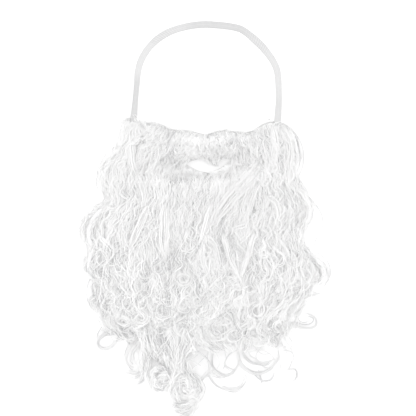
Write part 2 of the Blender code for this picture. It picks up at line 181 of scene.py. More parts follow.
# painted highlights on bright smooth places in the hair and, below nought, painted shade on dull ones:
# picture x and y, half width and height, strength
paintedLightSpots = [
    (165, 231, 7, 17, 0.9), (237, 190, 17, 14, 1.0), (199, 141, 10, 8, 0.9), (288, 158, 5, 24, 0.9),
    (205, 224, 5, 17, 0.8), (274, 144, 4, 16, 0.8), (143, 192, 5, 16, 0.6), (234, 262, 5, 14, 0.6),
    (98, 226, 9, 12, 0.4), (108, 184, 9, 9, 0.5), (212, 260, 5, 14, 0.5), (272, 212, 5, 10, 0.6),
    (177, 366, 5, 16, 0.6), (130, 128, 8, 8, 0.4),
    (168, 163, 12, 7, -0.10), (172, 150, 10, 8, -0.08), (244, 145, 22, 6, -0.14), (228, 246, 9, 12, -0.14),
    (284, 282, 10, 12, -0.10), (168, 290, 12, 16, -0.10), (155, 322, 22, 7, -0.10), (158, 380, 10, 9, -0.20),
    (195, 285, 10, 10, -0.10), (178, 175, 9, 14, -0.06), (276, 250, 12, 9, -0.12),
    (196, 172, 34, 8, 0.25), (288, 316, 14, 20, 0.46), (186, 306, 15, 13, 0.34), (236, 168, 8, 12, 0.30),
    (130, 255, 12, 26, -0.16), (209, 247, 12, 12, -0.20), (150, 168, 12, 12, 0.16), (282, 225, 12, 18, 0.16),
    (124, 202, 14, 12, -0.10), (222, 346, 22, 9, -0.16), (308, 196, 8, 14, 0.55), (103, 202, 9, 13, -0.25),
    (124, 262, 12, 22, -0.12), (213, 163, 7, 8, -0.25), (209, 177, 15, 6, -0.25), (151, 366, 8, 8, 0.25),
    (190, 388, 16, 16, -0.16), (184, 408, 14, 8, -0.16), (186, 131, 22, 5, -0.20), (187, 147, 12, 8, -0.16),
    (184, 135, 20, 5, -0.34), (228, 136, 22, 5, -0.38), (206, 135, 6, 4, -0.50), (144, 124, 8, 5, -0.40),
    (171, 137, 8, 6, -0.25), (252, 136, 10, 6, -0.20), (263, 156, 5, 9, 0.35), (283, 183, 5, 7, 0.35),
]
clothLook = {"pale": (0.80, 0.80, 0.795, 1), "deep": (0.56, 0.56, 0.56, 1), "roughness": 0.9,
             "thread": 0.0012}
elasticLook = {"pale": (0.60, 0.60, 0.60, 1), "deep": (0.30, 0.30, 0.305, 1), "roughness": 0.7,
               "weave": 0.0011, "pick": 0.0014, "zigzag": 0.0022, "line": 0.0028, "chevron": 0.0034}
# what makes the tape's shade, and how strongly
elasticMix = {"base": 0.24, "fresh": 0.46, "lines": 0.16, "ribs": 0.10, "picks": 0.08, "fuzz": 0.30,
              "gaps": 0.40, "rim": 0.30, "zigzag": 1.6, "slant": 900.0}
# the hem is the cloth painted lighter, to lift the shade that falls along it: painted light
hemLitLook = {"pale": (0.92, 0.92, 0.915, 1), "deep": (0.76, 0.76, 0.76, 1), "roughness": 0.9,
           "thread": 0.0012}
threadLook = {"pale": (0.92, 0.92, 0.91, 1), "deep": (0.66, 0.66, 0.66, 1), "roughness": 0.6}
floorLook = {"colour": (0.97, 0.97, 0.97, 1), "roughness": 0.9}


def makeFibreMaterial(name, look):
    material, tree, shader = newMaterial(name, look["roughness"], 0.5)
    tone = readValue(tree, "tone")
    along = readValue(tree, "along")
    lockTone = readValue(tree, "lockTone")
    place, x, y = objectPlace(tree)
    patches = node(tree, "ShaderNodeTexNoise", None,
                   {"Vector": place, "Scale": fibreMix["patchScale"], "Detail": 2.0})
    depth = tone * fibreMix["tone"] + lockTone * fibreMix["lockTone"]
    depth = depth + (patches - 0.5) * fibreMix["patches"]
    # each spot paints strands paler, as a painted highlight, or below nought darker, as painted shade
    for px, py, halfWidth, halfHeight, strength in paintedLightSpots:
        middle = fromPicture(px, py)
        across = (x - middle.x) / (halfWidth * picture["step"])
        down = (y - middle.y) / (halfHeight * picture["step"])
        inside = (fibreMix["spotEdge"] - across * across - down * down).between(0.0, 1.0)
        depth = depth + inside * (strength * fibreMix["spots"])
    shade = ((look["paintedShadeShare"] - depth) / look["paintedShadeShare"] * 2.0).between(0.0, 1.0)
    # strands are painted darker towards their roots, where they go in among the other hair: painted shade
    root = (1.0 - along * fibreMix["rootShadeRun"]).between(0.0, 1.0) * fibreMix["root"]
    colour = mixColours(tree, (shade + root).between(0.0, 1.0), look["pale"], look["deep"])
    tree.links.new((look["roughness"] + tone * fibreMix["roughness"]).socket, shader.inputs["Roughness"])
    return colourWith(material, colour)


def makeMassMaterial():
    material, tree, shader = newMaterial("hairMass", massLook["roughness"], 0.4)
    around = readValue(tree, "around")
    along = readValue(tree, "along")
    lockTone = readValue(tree, "lockTone")
    spot = node(tree, "ShaderNodeCombineXYZ", None,
                {0: around * massLook["stripes"], 1: along * massLook["alongScale"],
                 2: lockTone * massLook["toneScale"]})
    stripes = node(tree, "ShaderNodeTexNoise", None, {"Vector": spot, "Scale": 1.0, "Detail": 3.0})
    tint = ((stripes - massLook["dark"]) * massLook["contrast"]).between(0.0, 1.0)
    colour = mixColours(tree, tint, massLook["deep"], massLook["pale"])
    bump = node(tree, "ShaderNodeBump", None, {"Strength": 0.6, "Distance": 0.0006, "Height": stripes})
    tree.links.new(bump.socket, shader.inputs["Normal"])
    return colourWith(material, colour)


def makeClothMaterial(name, look):
    material, tree, shader = newMaterial(name, look["roughness"], 0.2, 0.15)
    place, x, y = objectPlace(tree)
    turn = 2 * math.pi / look["thread"]
    loops = ((x * turn).sin() * 0.5 + 0.5) * ((y * turn * 0.5 + (x * turn).sin() * 0.8).sin() * 0.5 + 0.5)
    fuzz = node(tree, "ShaderNodeTexNoise", None, {"Vector": place, "Scale": 900.0, "Detail": 2.0})
    tint = (loops * 0.8 + fuzz * 0.5).between(0.0, 1.0)
    colour = mixColours(tree, tint, look["deep"], look["pale"])
    bump = node(tree, "ShaderNodeBump", None,
                {"Strength": 0.7, "Distance": 0.0004, "Height": loops + fuzz * 0.3})
    tree.links.new(bump.socket, shader.inputs["Normal"])
    return colourWith(material, colour)


def makeElasticMaterial():
    material, tree, shader = newMaterial("braidedElastic", elasticLook["roughness"], 0.35, 0.1)
    across = readValue(tree, "across")  # metres over the tape's width
    run = readValue(tree, "run")  # metres along it
    fresh = readValue(tree, "fresh")  # how light the tape is painted along its run, where it turns to or from the light or lies in shade, 0 to 1: painted light and shade
    chevrons = readValue(tree, "chevrons")  # where the weave stands open
    ribs = (across * (2 * math.pi / elasticLook["weave"])).sin() * 0.5 + 0.5
    lines = (across * (2 * math.pi / elasticLook["line"])).cos() * 0.5 + 0.5
    zigzag = (across * (2 * math.pi / elasticLook["zigzag"])).sin() * elasticMix["zigzag"]
    picks = (run * (2 * math.pi / elasticLook["pick"]) + zigzag).sin() * 0.5 + 0.5
    gaps = (run * (2 * math.pi / elasticLook["chevron"]) + across * elasticMix["slant"]).sin() * 0.5 + 0.5
    # the tape is painted darker towards its edges, where they round away from the light: painted shade
    rim = ((across * across) * (1 / (tape["width"] * 0.5) ** 2)) ** 2.0
    place = node(tree, "ShaderNodeTexCoord", out=3)
    fuzz = node(tree, "ShaderNodeTexNoise", None, {"Vector": place, "Scale": 260.0, "Detail": 3.0})
    tint = (elasticMix["base"] + fresh * elasticMix["fresh"] + (lines - 0.5) * elasticMix["lines"]
            + (ribs - 0.5) * elasticMix["ribs"] + (picks - 0.5) * elasticMix["picks"]
            + (fuzz - 0.5) * elasticMix["fuzz"] + (gaps - 0.5) * chevrons * elasticMix["gaps"]
            - rim * elasticMix["rim"])
    colour = mixColours(tree, tint.between(0.0, 1.0), elasticLook["deep"], elasticLook["pale"])
    bump = node(tree, "ShaderNodeBump", None,
                {"Strength": 0.8, "Distance": 0.0003, "Height": ribs * 0.6 + picks * 0.4 + fuzz * 0.2})
    tree.links.new(bump.socket, shader.inputs["Normal"])
    return colourWith(material, colour)


def makeThreadMaterial():
    material, tree, shader = newMaterial("sewingThread", threadLook["roughness"], 0.4)
    place = node(tree, "ShaderNodeTexCoord", out=3)
    twist = node(tree, "ShaderNodeTexNoise", None, {"Vector": place, "Scale": 1500.0, "Detail": 1.0})
    colour = mixColours(tree, twist, threadLook["deep"], threadLook["pale"])
    return colourWith(material, colour)


def makeFloorMaterial():
    material, tree, shader = newMaterial("studioFloor", floorLook["roughness"], 0.0)
    shader.inputs["Base Color"].default_value = floorLook["colour"]
    return material


hairFibre = makeFibreMaterial("hairFibre", fibreLook)
looseShadedFibre = makeFibreMaterial("looseShadedFibre", looseShadedLook)
lowFibre = makeFibreMaterial("lowFibre", lowLook)
hairMass = makeMassMaterial()
knittedCloth = makeClothMaterial("knittedCloth", clothLook)
hemLitCloth = makeClothMaterial("hemLitCloth", hemLitLook)
braidedElastic = makeElasticMaterial()
sewingThread = makeThreadMaterial()
studioFloor = makeFloorMaterial()
print("materials ready")


# Shared shape helpers
def putDown(name, data):
    piece = bpy.data.objects.new(name, data)
    bpy.context.scene.collection.objects.link(piece)
    return piece


def within(t):
    return min(1.0, max(0.0, t))


def ease(t):
    t = within(t)
    return t * t * (3 - 2 * t)


def sideAt(line, i):
    go = line[min(i + 1, len(line) - 1)] - line[max(i - 1, 0)]
    return Vector((-go.y, go.x, 0)).normalized()


def rayAt(angle):
    return Vector((math.cos(angle), math.sin(angle), 0))


def chainEdges(points, lines):
    edges = []
    for line in lines:
        first = len(points)
        points += [tuple(p) for p in line]
        edges += [(first + i, first + i + 1) for i in range(len(line) - 1)]
    return edges


# a closed tube's faces, from rings of points that follow each other
def tubeFaces(first, rings, sides, inverted=False):
    found = []
    for i in range(rings - 1):
        a, b = first + i * sides, first + (i + 1) * sides
        for k in range(sides):
            n = (k + 1) % sides
            found.append((a + n, a + k, b + k, b + n))
    end = first + (rings - 1) * sides
    found.append(tuple(range(first, first + sides)))
    found.append(tuple(reversed(range(end, end + sides))))
    return [tuple(reversed(face)) for face in found] if inverted else found


def placeMesh(name, points, faces, material, values=None, smooth=True):
    mesh = bpy.data.meshes.new(name)
    mesh.from_pydata([tuple(p) for p in points], [], faces)
    for key, numbers in (values or {}).items():
        mesh.attributes.new(key, "FLOAT", "POINT").data.foreach_set("value", numbers)
    mesh.materials.append(material)
    mesh.polygons.foreach_set("use_smooth", [smooth] * len(mesh.polygons))
    mesh.update()
    return putDown(name, mesh)


# a curve through the points, cut into even steps that get shorter where it bends
def smoothLine(points, step, bendShare=0.004):
    last, parts = len(points) - 1, 14
    dense = []
    for i in range(last):
        a, b, c, d = (points[min(max(i + k, 0), last)] for k in (-1, 0, 1, 2))
        for k in range(parts):
            t = k / parts
            dense.append(0.5 * (2 * b + (c - a) * t + (2 * a - 5 * b + 4 * c - d) * t * t
                                + (3 * b - a - 3 * c + d) * t * t * t))
    dense.append(points[-1])
    lengths = [0.0]
    before = None
    for a, b in zip(dense, dense[1:]):
        go = (b - a).xy
        turn = before.angle(go, 0.0) if before and before.length > 1e-9 and go.length > 1e-9 else 0.0
        lengths.append(lengths[-1] + go.length + turn * bendShare)
        before = go
    pieces = max(3, round(lengths[-1] / step))
    found, k = [], 0
    for i in range(pieces + 1):
        wanted = lengths[-1] * i / pieces
        while k < len(dense) - 2 and lengths[k + 1] < wanted:
            k += 1
        span = max(lengths[k + 1] - lengths[k], 1e-9)
        found.append(dense[k].lerp(dense[k + 1], min(1.0, (wanted - lengths[k]) / span)))
    return found


def pictureLine(line, step):
    return smoothLine([fromPicture(px, py) for px, py in line], step)


# reads a column between two rows, by the first one
def readTable(rows, place, column):
    if place <= rows[0][0]:
        return rows[0][column]
    for a, b in zip(rows, rows[1:]):
        if place <= b[0]:
            t = (place - a[0]) / (b[0] - a[0])
            return a[column] + (b[column] - a[column]) * t
    return rows[-1][column]


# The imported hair's height: y, left, right, crown
bedSections = [
    (-0.238, -0.044, 0.024, 0.008),
    (-0.222, -0.070, 0.058, 0.015),
    (-0.200, -0.096, 0.090, 0.021),
    (-0.170, -0.120, 0.108, 0.026),
    (-0.135, -0.134, 0.124, 0.029),
    (-0.100, -0.145, 0.132, 0.031),
    (-0.065, -0.142, 0.126, 0.031),
    (-0.030, -0.129, 0.124, 0.029),
    (0.005, -0.127, 0.118, 0.025),
    (0.040, -0.117, 0.118, 0.019),
    (0.070, -0.110, 0.115, 0.013),
    (0.090, -0.104, 0.106, 0.008),
]


# 1 in the middle, 0 at both sides
def archOver(u):
    return max(0.0, 1 - abs(u) ** 2.4) ** 0.5


# The hair thins out towards the mouth opening
mouth = {"x": 0.0046, "y": 0.0250, "halfWide": 0.0310, "halfHigh": 0.0072, "rise": 0.08, "reach": 0.0110,
         "slope": 0.028, "rim": 0.10}


def mouthEase(x, y):
    across = (x - mouth["x"]) / mouth["halfWide"]
    up = (y - mouth["y"] - (x - mouth["x"]) * mouth["rise"]) / mouth["halfHigh"]
    away = (math.hypot(across, up) - 1) * mouth["reach"] / mouth["slope"]
    return mouth["rim"] + (1 - mouth["rim"]) * ease(away)


# the sewn upper edge in the picture
topLine = [(120, 119), (124, 116.5), (134, 117), (140, 119), (150, 121), (160, 122.5), (172, 129.5),
           (190, 131), (205, 134.5), (215, 131), (226, 130), (240, 131.5), (252, 131), (262, 127),
           (270, 123.5), (278, 122.5), (285, 123), (290, 128)]


def hemLine(px):
    return readTable(topLine, px, 1)


# the hair lies low at its roots along that edge and rises over a run of so many picture units
rootLift = {"least": 0.22, "run": 11}


def hemEase(x, y):
    px, py = toPicture(x, y)
    return rootLift["least"] + (1 - rootLift["least"]) * ease((py - hemLine(px)) / rootLift["run"])


def bedHeight(x, y):
    left, right, crown = (readTable(bedSections, y, k) for k in (1, 2, 3))
    below = bedSections[0][0]
    fade = 1.0 if y > below else max(0.0, 1 + (y - below) / 0.02)
    return crown * fade * archOver((2 * x - left - right) / (right - left)) * mouthEase(x, y) * hemEase(x, y)


# Locks: each is a middle line with a width and a thickness at every point
class Lock:
    def __init__(self, flat, width, thickness, layer, tone, root=0.55, tip=0.25, narrowFrom=0.55):
        last = len(flat) - 1
        self.points, self.widths, self.heights, self.along = [], [], [], []
        self.tone = tone
        for i, p in enumerate(flat):
            t = i / last
            taper = root + (1 - root) * min(1.0, t / 0.25)
            if t > narrowFrom:
                taper *= 1 - (1 - tip) * ((t - narrowFrom) / (1 - narrowFrom)) ** 1.3
            high = thickness * taper
            lift = bedHeight(p.x, p.y) + layer * (0.3 + 0.7 * min(1.0, 6 * t * (1.05 - t)))
            self.points.append(Vector((p.x, p.y, max(lift, high * 0.5 + 0.0004))))
            self.widths.append(width * taper)
            self.heights.append(high)
            self.along.append(t)
        self.sides = [sideAt(self.points, i) for i in range(last + 1)]


def setHeights(lock, height):
    lock.points = [Vector((p.x, p.y, height(i, p))) for i, p in enumerate(lock.points)]


# a ringlet's line from its root onwards: it winds round the centre and closes up a little
def curlAround(root, centre, radius, turns, step, shrink, squash):
    away = root - centre
    reach = math.acos(min(1.0, radius / max(away.length, 1e-6)))
    start = math.atan2(away.y, away.x) + math.copysign(reach, turns)
    count = max(5, round(abs(turns) * 2 * math.pi * radius / step))
    found = []
    for i in range(count + 1):
        t = i / count
        angle = start + 2 * math.pi * turns * t
        flatter = 1 - squash * math.sin(angle - start) ** 2
        found.append(centre + rayAt(angle) * radius * flatter * (1 - shrink * t))
    return found


# Hair strands by Geometry Nodes, from the locks' middle lines
def guideMesh(name, locks):
    mesh = bpy.data.meshes.new(name)
    points, sides = [], []
    columns = {"lockWidth": [], "lockHeight": [], "along": [], "lockTone": []}
    edges = chainEdges(points, [lock.points for lock in locks])
    for lock in locks:
        columns["lockWidth"] += lock.widths
        columns["lockHeight"] += lock.heights
        columns["along"] += lock.along
        columns["lockTone"] += [lock.tone] * len(lock.points)
        sides += lock.sides
    mesh.from_pydata(points, edges, [])
    for key, numbers in columns.items():
        mesh.attributes.new(key, "FLOAT", "POINT").data.foreach_set("value", numbers)
    flat = [c for side in sides for c in side]
    mesh.attributes.new("lockSide", "FLOAT_VECTOR", "POINT").data.foreach_set("vector", flat)
    return putDown(name, mesh)


def newTree(name, inputs):
    tree = bpy.data.node_groups.new(name, "GeometryNodeTree")
    tree.interface.new_socket("Geometry", in_out="OUTPUT", socket_type="NodeSocketGeometry")
    tree.interface.new_socket("Geometry", in_out="INPUT", socket_type="NodeSocketGeometry")
    for label, kind in inputs:
        tree.interface.new_socket(label, in_out="INPUT", socket_type=kind)
    entry = tree.nodes.new("NodeGroupInput")
    return tree, {s.name: Wire(tree, s) for s in entry.outputs if s.name}


def endTree(tree, geometry, material):
    whole = node(tree, "GeometryNodeRealizeInstances", None, {0: geometry})
    finished = node(tree, "GeometryNodeSetMaterial", None, {"Geometry": whole, "Material": material})
    leave = tree.nodes.new("NodeGroupOutput")
    tree.links.new(finished.socket, leave.inputs[0])
    return tree


def geometryValue(tree, name, kind="FLOAT"):
    return node(tree, "GeometryNodeInputNamedAttribute", {"data_type": kind}, {"Name": name})


def keepValue(tree, geometry, name, value, domain="CURVE"):
    return node(tree, "GeometryNodeStoreNamedAttribute", {"data_type": "FLOAT", "domain": domain},
                {"Geometry": geometry, "Name": name, "Value": value})


def chance(tree, low, high, seed):
    return node(tree, "FunctionNodeRandomValue", {"data_type": "FLOAT"},
                {2: low, 3: high, "Seed": seed}, out=1)


def buildStrandTree():
    tree, given = newTree("strandsOnLocks", [
        ("Strands", "NodeSocketInt"), ("Radius", "NodeSocketFloat"), ("Fill", "NodeSocketFloat"),
        ("Twist", "NodeSocketFloat"), ("Wander", "NodeSocketFloat"), ("Wander Scale", "NodeSocketFloat"),
        ("Crimp", "NodeSocketFloat"), ("Crimp Waves", "NodeSocketFloat"), ("Loose Ends", "NodeSocketFloat"),
        ("Seed", "NodeSocketInt"), ("Material", "NodeSocketMaterial")])
    lines = node(tree, "GeometryNodeMeshToCurve", None, {0: given["Geometry"]})
    many = node(tree, "GeometryNodeDuplicateElements", {"domain": "SPLINE"},
                {"Geometry": lines, "Amount": given["Strands"]})
    seed = given["Seed"]
    drawn = (("turn", 0.0, 2 * math.pi), ("reach", 0.0, 1.0), ("tone", 0.0, 1.0), ("stop", 0.0, 1.0),
             ("phase", 0.0, 60.0))
    for step, (name, low, high) in enumerate(drawn):
        many = keepValue(tree, many, name, chance(tree, low, high, seed + step * 7))
    along = geometryValue(tree, "along")
    turn, reach, stop = (geometryValue(tree, name) for name in ("turn", "reach", "stop"))
    tone, phase = geometryValue(tree, "tone"), geometryValue(tree, "phase")
    cut = 1.0 - (stop ** 2.0) * given["Loose Ends"]
    many = node(tree, "GeometryNodeDeleteGeometry", {"domain": "POINT"},
                {"Geometry": many, "Selection": along > cut})
    angle = turn + given["Twist"] * along
    spread = (reach ** 0.5) * given["Fill"]
    across = angle.cos() * spread * geometryValue(tree, "lockWidth") * 0.5
    over = angle.sin() * spread * geometryValue(tree, "lockHeight") * 0.5
    crimp = ((along * given["Crimp Waves"] + phase * 0.025).sin() * given["Crimp"]
             + (along * given["Crimp Waves"] * 0.37 + phase).sin() * given["Crimp"] * 0.5)
    side = geometryValue(tree, "lockSide", "FLOAT_VECTOR")
    sideways = node(tree, "ShaderNodeVectorMath", {"operation": "SCALE"}, {0: side, "Scale": across + crimp})
    upwards = node(tree, "ShaderNodeCombineXYZ", None, {2: over})
    place = node(tree, "GeometryNodeInputPosition")
    drift = node(tree, "ShaderNodeTexNoise", {"noise_dimensions": "4D"},
                 {"Vector": place, "W": phase, "Scale": given["Wander Scale"], "Detail": 1.0}, out=1)
    centred = node(tree, "ShaderNodeVectorMath", {"operation": "SUBTRACT"}, {0: drift, 1: (0.5, 0.5, 0.5)})
    wandered = node(tree, "ShaderNodeVectorMath", {"operation": "SCALE"},
                    {0: centred, "Scale": given["Wander"] * (along * 0.8 + 0.2)})
    both = node(tree, "ShaderNodeVectorMath", {"operation": "ADD"}, {0: sideways, 1: upwards})
    offset = node(tree, "ShaderNodeVectorMath", {"operation": "ADD"}, {0: both, 1: wandered})
    many = node(tree, "GeometryNodeSetPosition", None, {"Geometry": many, "Offset": offset})
    low = node(tree, "ShaderNodeSeparateXYZ", None, {0: place}, out=2)
    raised = node(tree, "ShaderNodeCombineXYZ", None, {2: (0.0005 - low).most(0.0)})
    many = node(tree, "GeometryNodeSetPosition", None, {"Geometry": many, "Offset": raised})
    taper = (along * 8.0 + 0.5).least(1.0) * ((cut - along) * 5.0 + 0.3).least(1.0)
    thick = given["Radius"] * taper * (0.75 + tone * 0.5)
    ring = node(tree, "GeometryNodeCurvePrimitiveCircle", None, {"Resolution": 3, "Radius": 1.0})
    tubes = node(tree, "GeometryNodeCurveToMesh", None,
                 {"Curve": many, "Profile Curve": ring, "Scale": thick, "Fill Caps": True})
    tubes = node(tree, "GeometryNodeSetShadeSmooth", None, {"Geometry": tubes})
    return endTree(tree, tubes, given["Material"])


def runTree(tree, source, name, values):
    modifier = source.modifiers.new("shape", "NODES")
    modifier.node_group = tree
    sockets = {s.name: s.identifier for s in tree.interface.items_tree if s.in_out == "INPUT"}
    for label, value in values.items():
        modifier[sockets[label]] = value
    bpy.context.view_layer.update()
    graph = bpy.context.evaluated_depsgraph_get()
    mesh = bpy.data.meshes.new_from_object(source.evaluated_get(graph))
    mesh.name = name
    bpy.data.objects.remove(source)
    return putDown(name, mesh)


strandTree = buildStrandTree()


def growStrands(name, locks, look, material=hairFibre):
    values = dict(look)
    values["Material"] = material
    piece = runTree(strandTree, guideMesh(name + "Guides", locks), name, values)
    faces = len(piece.data.polygons)
    triangles = sum(len(p.vertices) - 2 for p in piece.data.polygons)
    print(name, "locks", len(locks), "faces", faces, "triangles", triangles)
    return piece


def growBodies(name, locks, fill, sides=12):
    points, faces = [], []
    values = {"around": [], "along": [], "lockTone": []}
    for lock in locks:
        first = len(points)
        for i, centre in enumerate(lock.points):
            for k in range(sides):
                angle = 2 * math.pi * k / sides
                groove = 1 + 0.07 * math.sin(angle * 5 + lock.tone * 20 + i * 0.15)
                out = lock.sides[i] * math.cos(angle) * lock.widths[i] * 0.5 * fill * groove
                up = Vector((0, 0, math.sin(angle) * lock.heights[i] * 0.5 * fill * groove))
                p = centre + out + up
                points.append((p.x, p.y, max(p.z, 0.0002)))
                values["around"].append(abs(k / sides - 0.5) * 2)
                values["along"].append(lock.along[i])
                values["lockTone"].append(lock.tone)
        faces += tubeFaces(first, len(lock.points), sides)
    return placeMesh(name, points, faces, hairMass, values)


# The beard's outline in the picture: y, left, right, and the same with its waves ironed out
outline = [
    (118, 128, 282, 128, 284),
    (130, 124, 289, 124, 290),
    (140, 122, 292, 118, 294),
    (150, 117, 294, 113, 297),
    (160, 109, 295, 108, 299),
    (170, 104, 295, 104, 301),
    (180, 103, 295, 101, 302),
    (190, 106, 297, 99, 304),
    (200, 108, 303, 97, 305),
    (207, 104, 306, 96, 306),
    (213, 96, 307, 95, 307),
    (220, 91, 305, 94, 308),
    (230, 87, 301, 92, 309),
    (240, 88, 300, 91, 310),
    (248, 92, 301, 91, 311),
    (256, 90, 306, 91, 312),
    (264, 88, 313, 92, 312),
    (272, 90, 317, 94, 312),
    (280, 97, 316, 96, 311),
    (290, 100, 311, 99, 309),
    (300, 99, 303, 102, 306),
    (310, 101, 300, 105, 303),
    (320, 105, 297, 109, 299),
    (330, 112, 292, 114, 294),
    (340, 120, 286, 120, 288),
    (350, 128, 279, 128, 280),
    (362, 136, 272, 136, 272),
]


# How the waves of the rim fade inwards, and where the hair's own waves begin and grow
flow = {"reach": 0.16, "rim": 0.35, "rise": 7, "wavesFrom": 160, "wavesRun": 90, "lowFrom": 280, "lowRun": 70,
        "ripple": 0.43}
# Hair of the right cheek is combed towards the middle: share, spread in shares, start y, run, shift
comb = {"share": 0.71, "spread": 0.15, "from": 168, "run": 60, "shift": -17}


def flowPoint(share, py, wave, phase, length, ripple):
    left, right = readTable(outline, py, 3), readTable(outline, py, 4)
    leftWave = readTable(outline, py, 1) - left
    rightWave = readTable(outline, py, 2) - right
    px = left + (right - left) * share
    px += leftWave * math.exp(-share / flow["reach"]) + rightWave * math.exp((share - 1) / flow["reach"])
    inside = min(1.0, flow["rim"] + flow["rise"] * min(share, 1 - share))
    grown = within((py - flow["wavesFrom"]) / flow["wavesRun"])
    grown += max(0.0, (py - flow["lowFrom"]) / flow["lowRun"])
    px += wave * grown * inside * math.sin(2 * math.pi * (py - 150) / length + phase)
    px += ripple * math.sin(2 * math.pi * py / (length * flow["ripple"]) + phase * 3)
    combed = within((py - comb["from"]) / comb["run"])
    px += comb["shift"] * combed * math.exp(-((share - comb["share"]) / comb["spread"]) ** 2)
    return fromPicture(px, py)


# rows of sewn-in hair, lowest first: count, share from, share to, root y, end y, width, thickness, layer,
# wave, curl radius, curl turns
hairRows = [
    ("hem", 44, 0.01, 0.99, 262, 330, 0.0090, 0.0070, -0.0010, 3.6, 0.0085, 1.15),
    ("low", 44, 0.01, 0.99, 240, 312, 0.0090, 0.0070, 0.0000, 4.0, 0.0085, 1.10),
    ("lowMiddle", 42, 0.01, 0.99, 214, 294, 0.0090, 0.0070, 0.0008, 4.2, 0.0080, 1.00),
    ("middle", 38, 0.01, 0.99, 192, 268, 0.0085, 0.0065, 0.0015, 3.8, 0.0070, 0.75),
    ("highMiddle", 32, 0.01, 0.99, 170, 246, 0.0085, 0.0060, 0.0020, 2.8, 0.0060, 0.45),
    ("chin", 32, 0.18, 0.83, 172, 236, 0.0080, 0.0050, 0.0025, 2.0, 0.0, 0.0),
    ("leftCheek", 17, 0.00, 0.26, 122, 214, 0.0080, 0.0050, 0.0025, 2.0, 0.0050, 0.3),
    ("rightCheek", 17, 0.74, 1.00, 126, 214, 0.0080, 0.0050, 0.0025, 1.6, 0.0050, 0.3),
]
rowSpread = {"top": 12, "bottom": 16, "layer": 0.0018, "step": 0.0048, "phase": 2.2, "drift": 12,
             "length": (34, 54), "ripple": (0.5, 2.4), "wave": (0.5, 1.5), "width": (0.7, 1.3),
             "curl": (0.6, 1.35), "turns": (0.4, 1.4), "curlStep": 0.004}


# the picture's y where hair below the opening starts
def mouthBottom(px):
    if not 184 < px < 233.5:
        return 160 + 0.04 * abs(px - 209)
    t = (px - 185) / 47
    return 163.5 - 3.5 * t + 10.4 * math.sin(math.pi * within(t)) + 1.2


def rowLocks(row, seed):
    name, count, fromShare, toShare, rootY, endY, width, thickness, layer, wave, radius, turns = row
    rng = random.Random(seed)
    locks = []
    for i in range(count):
        share = fromShare + (toShare - fromShare) * (i + rng.uniform(-0.4, 0.4)) / (count - 1)
        share = min(max(share, fromShare), toShare)
        phase = 7.0 * share + 1.3 * math.sin(share * 23 + seed) + rng.uniform(-1, 1) * rowSpread["phase"]
        drift = rng.uniform(-1, 1) * rowSpread["drift"] + 6 * math.sin(share * 17 + seed)
        length = rng.uniform(*rowSpread["length"])
        ripple = rng.uniform(*rowSpread["ripple"])
        top = rootY + rng.uniform(-1, 1) * rowSpread["top"]
        if name == "chin":
            left, right = readTable(outline, 172, 3), readTable(outline, 172, 4)
            top = mouthBottom(left + (right - left) * share) + rng.uniform(0, 2)
        if "Cheek" in name:
            left, right = readTable(outline, rootY, 3), readTable(outline, rootY, 4)
            top = hemLine(left + (right - left) * share) + rng.uniform(3, 6)
        rootX = toPicture(flowPoint(share, top, 0, 0, 40, 0).x, 0)[0]
        if 182 < rootX < 238 and top > 150:
            top = max(top, mouthBottom(min(rootX, 233)) + (3 if rootX > 214 else 1))
        bottom = endY + rng.uniform(-1, 1) * rowSpread["bottom"]
        pickWave = wave * rng.uniform(*rowSpread["wave"])
        flat = []
        stations = max(6, round((bottom - top) / 4))
        for k in range(stations + 1):
            t = k / stations
            p = flowPoint(share, top + (bottom - top) * t, pickWave, phase, length, ripple)
            p.x += drift * picture["step"] * t * (1 - abs(2 * share - 1) ** 3)
            flat.append(p)
        if turns:
            hand = 1 if rng.random() < 0.5 else -1
            if share < 0.10:
                hand = 1
            if share > 0.90:
                hand = -1
            go = (flat[-1] - flat[-2]).normalized()
            size = radius * rng.uniform(*rowSpread["curl"])
            centre = flat[-1] + Vector((-go.y, go.x, 0)) * size * hand
            start = math.atan2(flat[-1].y - centre.y, flat[-1].x - centre.x)
            whole = turns * rng.uniform(*rowSpread["turns"])
            stations = max(4, round(whole * 2 * math.pi * size / rowSpread["curlStep"]))
            for k in range(1, stations + 1):
                t = k / stations
                angle = start + hand * 2 * math.pi * whole * t
                ring = Vector((math.cos(angle), math.sin(angle) * 0.8, 0)) * size * (1 - 0.4 * t)
                flat.append(centre + ring)
        path = smoothLine(flat, rowSpread["step"])
        locks.append(Lock(path, width * rng.uniform(*rowSpread["width"]), thickness,
                          layer + rng.uniform(-1, 1) * rowSpread["layer"], rng.random()))
    return locks


# short hair under the lower lip
under = {"count": 44, "fromX": 150, "run": 112, "fall": (20, 32), "aside": (-6, 6), "swing": (-2, 2),
         "step": 0.0044, "width": 0.0075, "thickness": 0.004, "layer": 0.0020}


def underLip():
    rng = random.Random(57)
    found = []
    for i in range(under["count"]):
        px = under["fromX"] + under["run"] * (i + rng.uniform(0.2, 0.8)) / under["count"]
        topY = mouthBottom(min(px, 233)) + rng.uniform(0, 5) if 184 < px < 238 else 160 + rng.uniform(-3, 9)
        if 214 < px < 238:
            topY += 2.4
        fall = rng.uniform(*under["fall"])
        aside = rng.uniform(*under["aside"])
        swing = rng.uniform(*under["swing"])
        flat = []
        for k in range(7):
            t = k / 6
            flat.append(fromPicture(px + aside * t + swing * math.sin(math.pi * 2 * t), topY + fall * t))
        found.append(Lock(smoothLine(flat, under["step"]), under["width"], under["thickness"], under["layer"],
                          rng.random(), root=0.85))
    return found


placed = {"step": 0.0050, "root": 0.6, "tip": 0.35, "narrowFrom": 0.6}
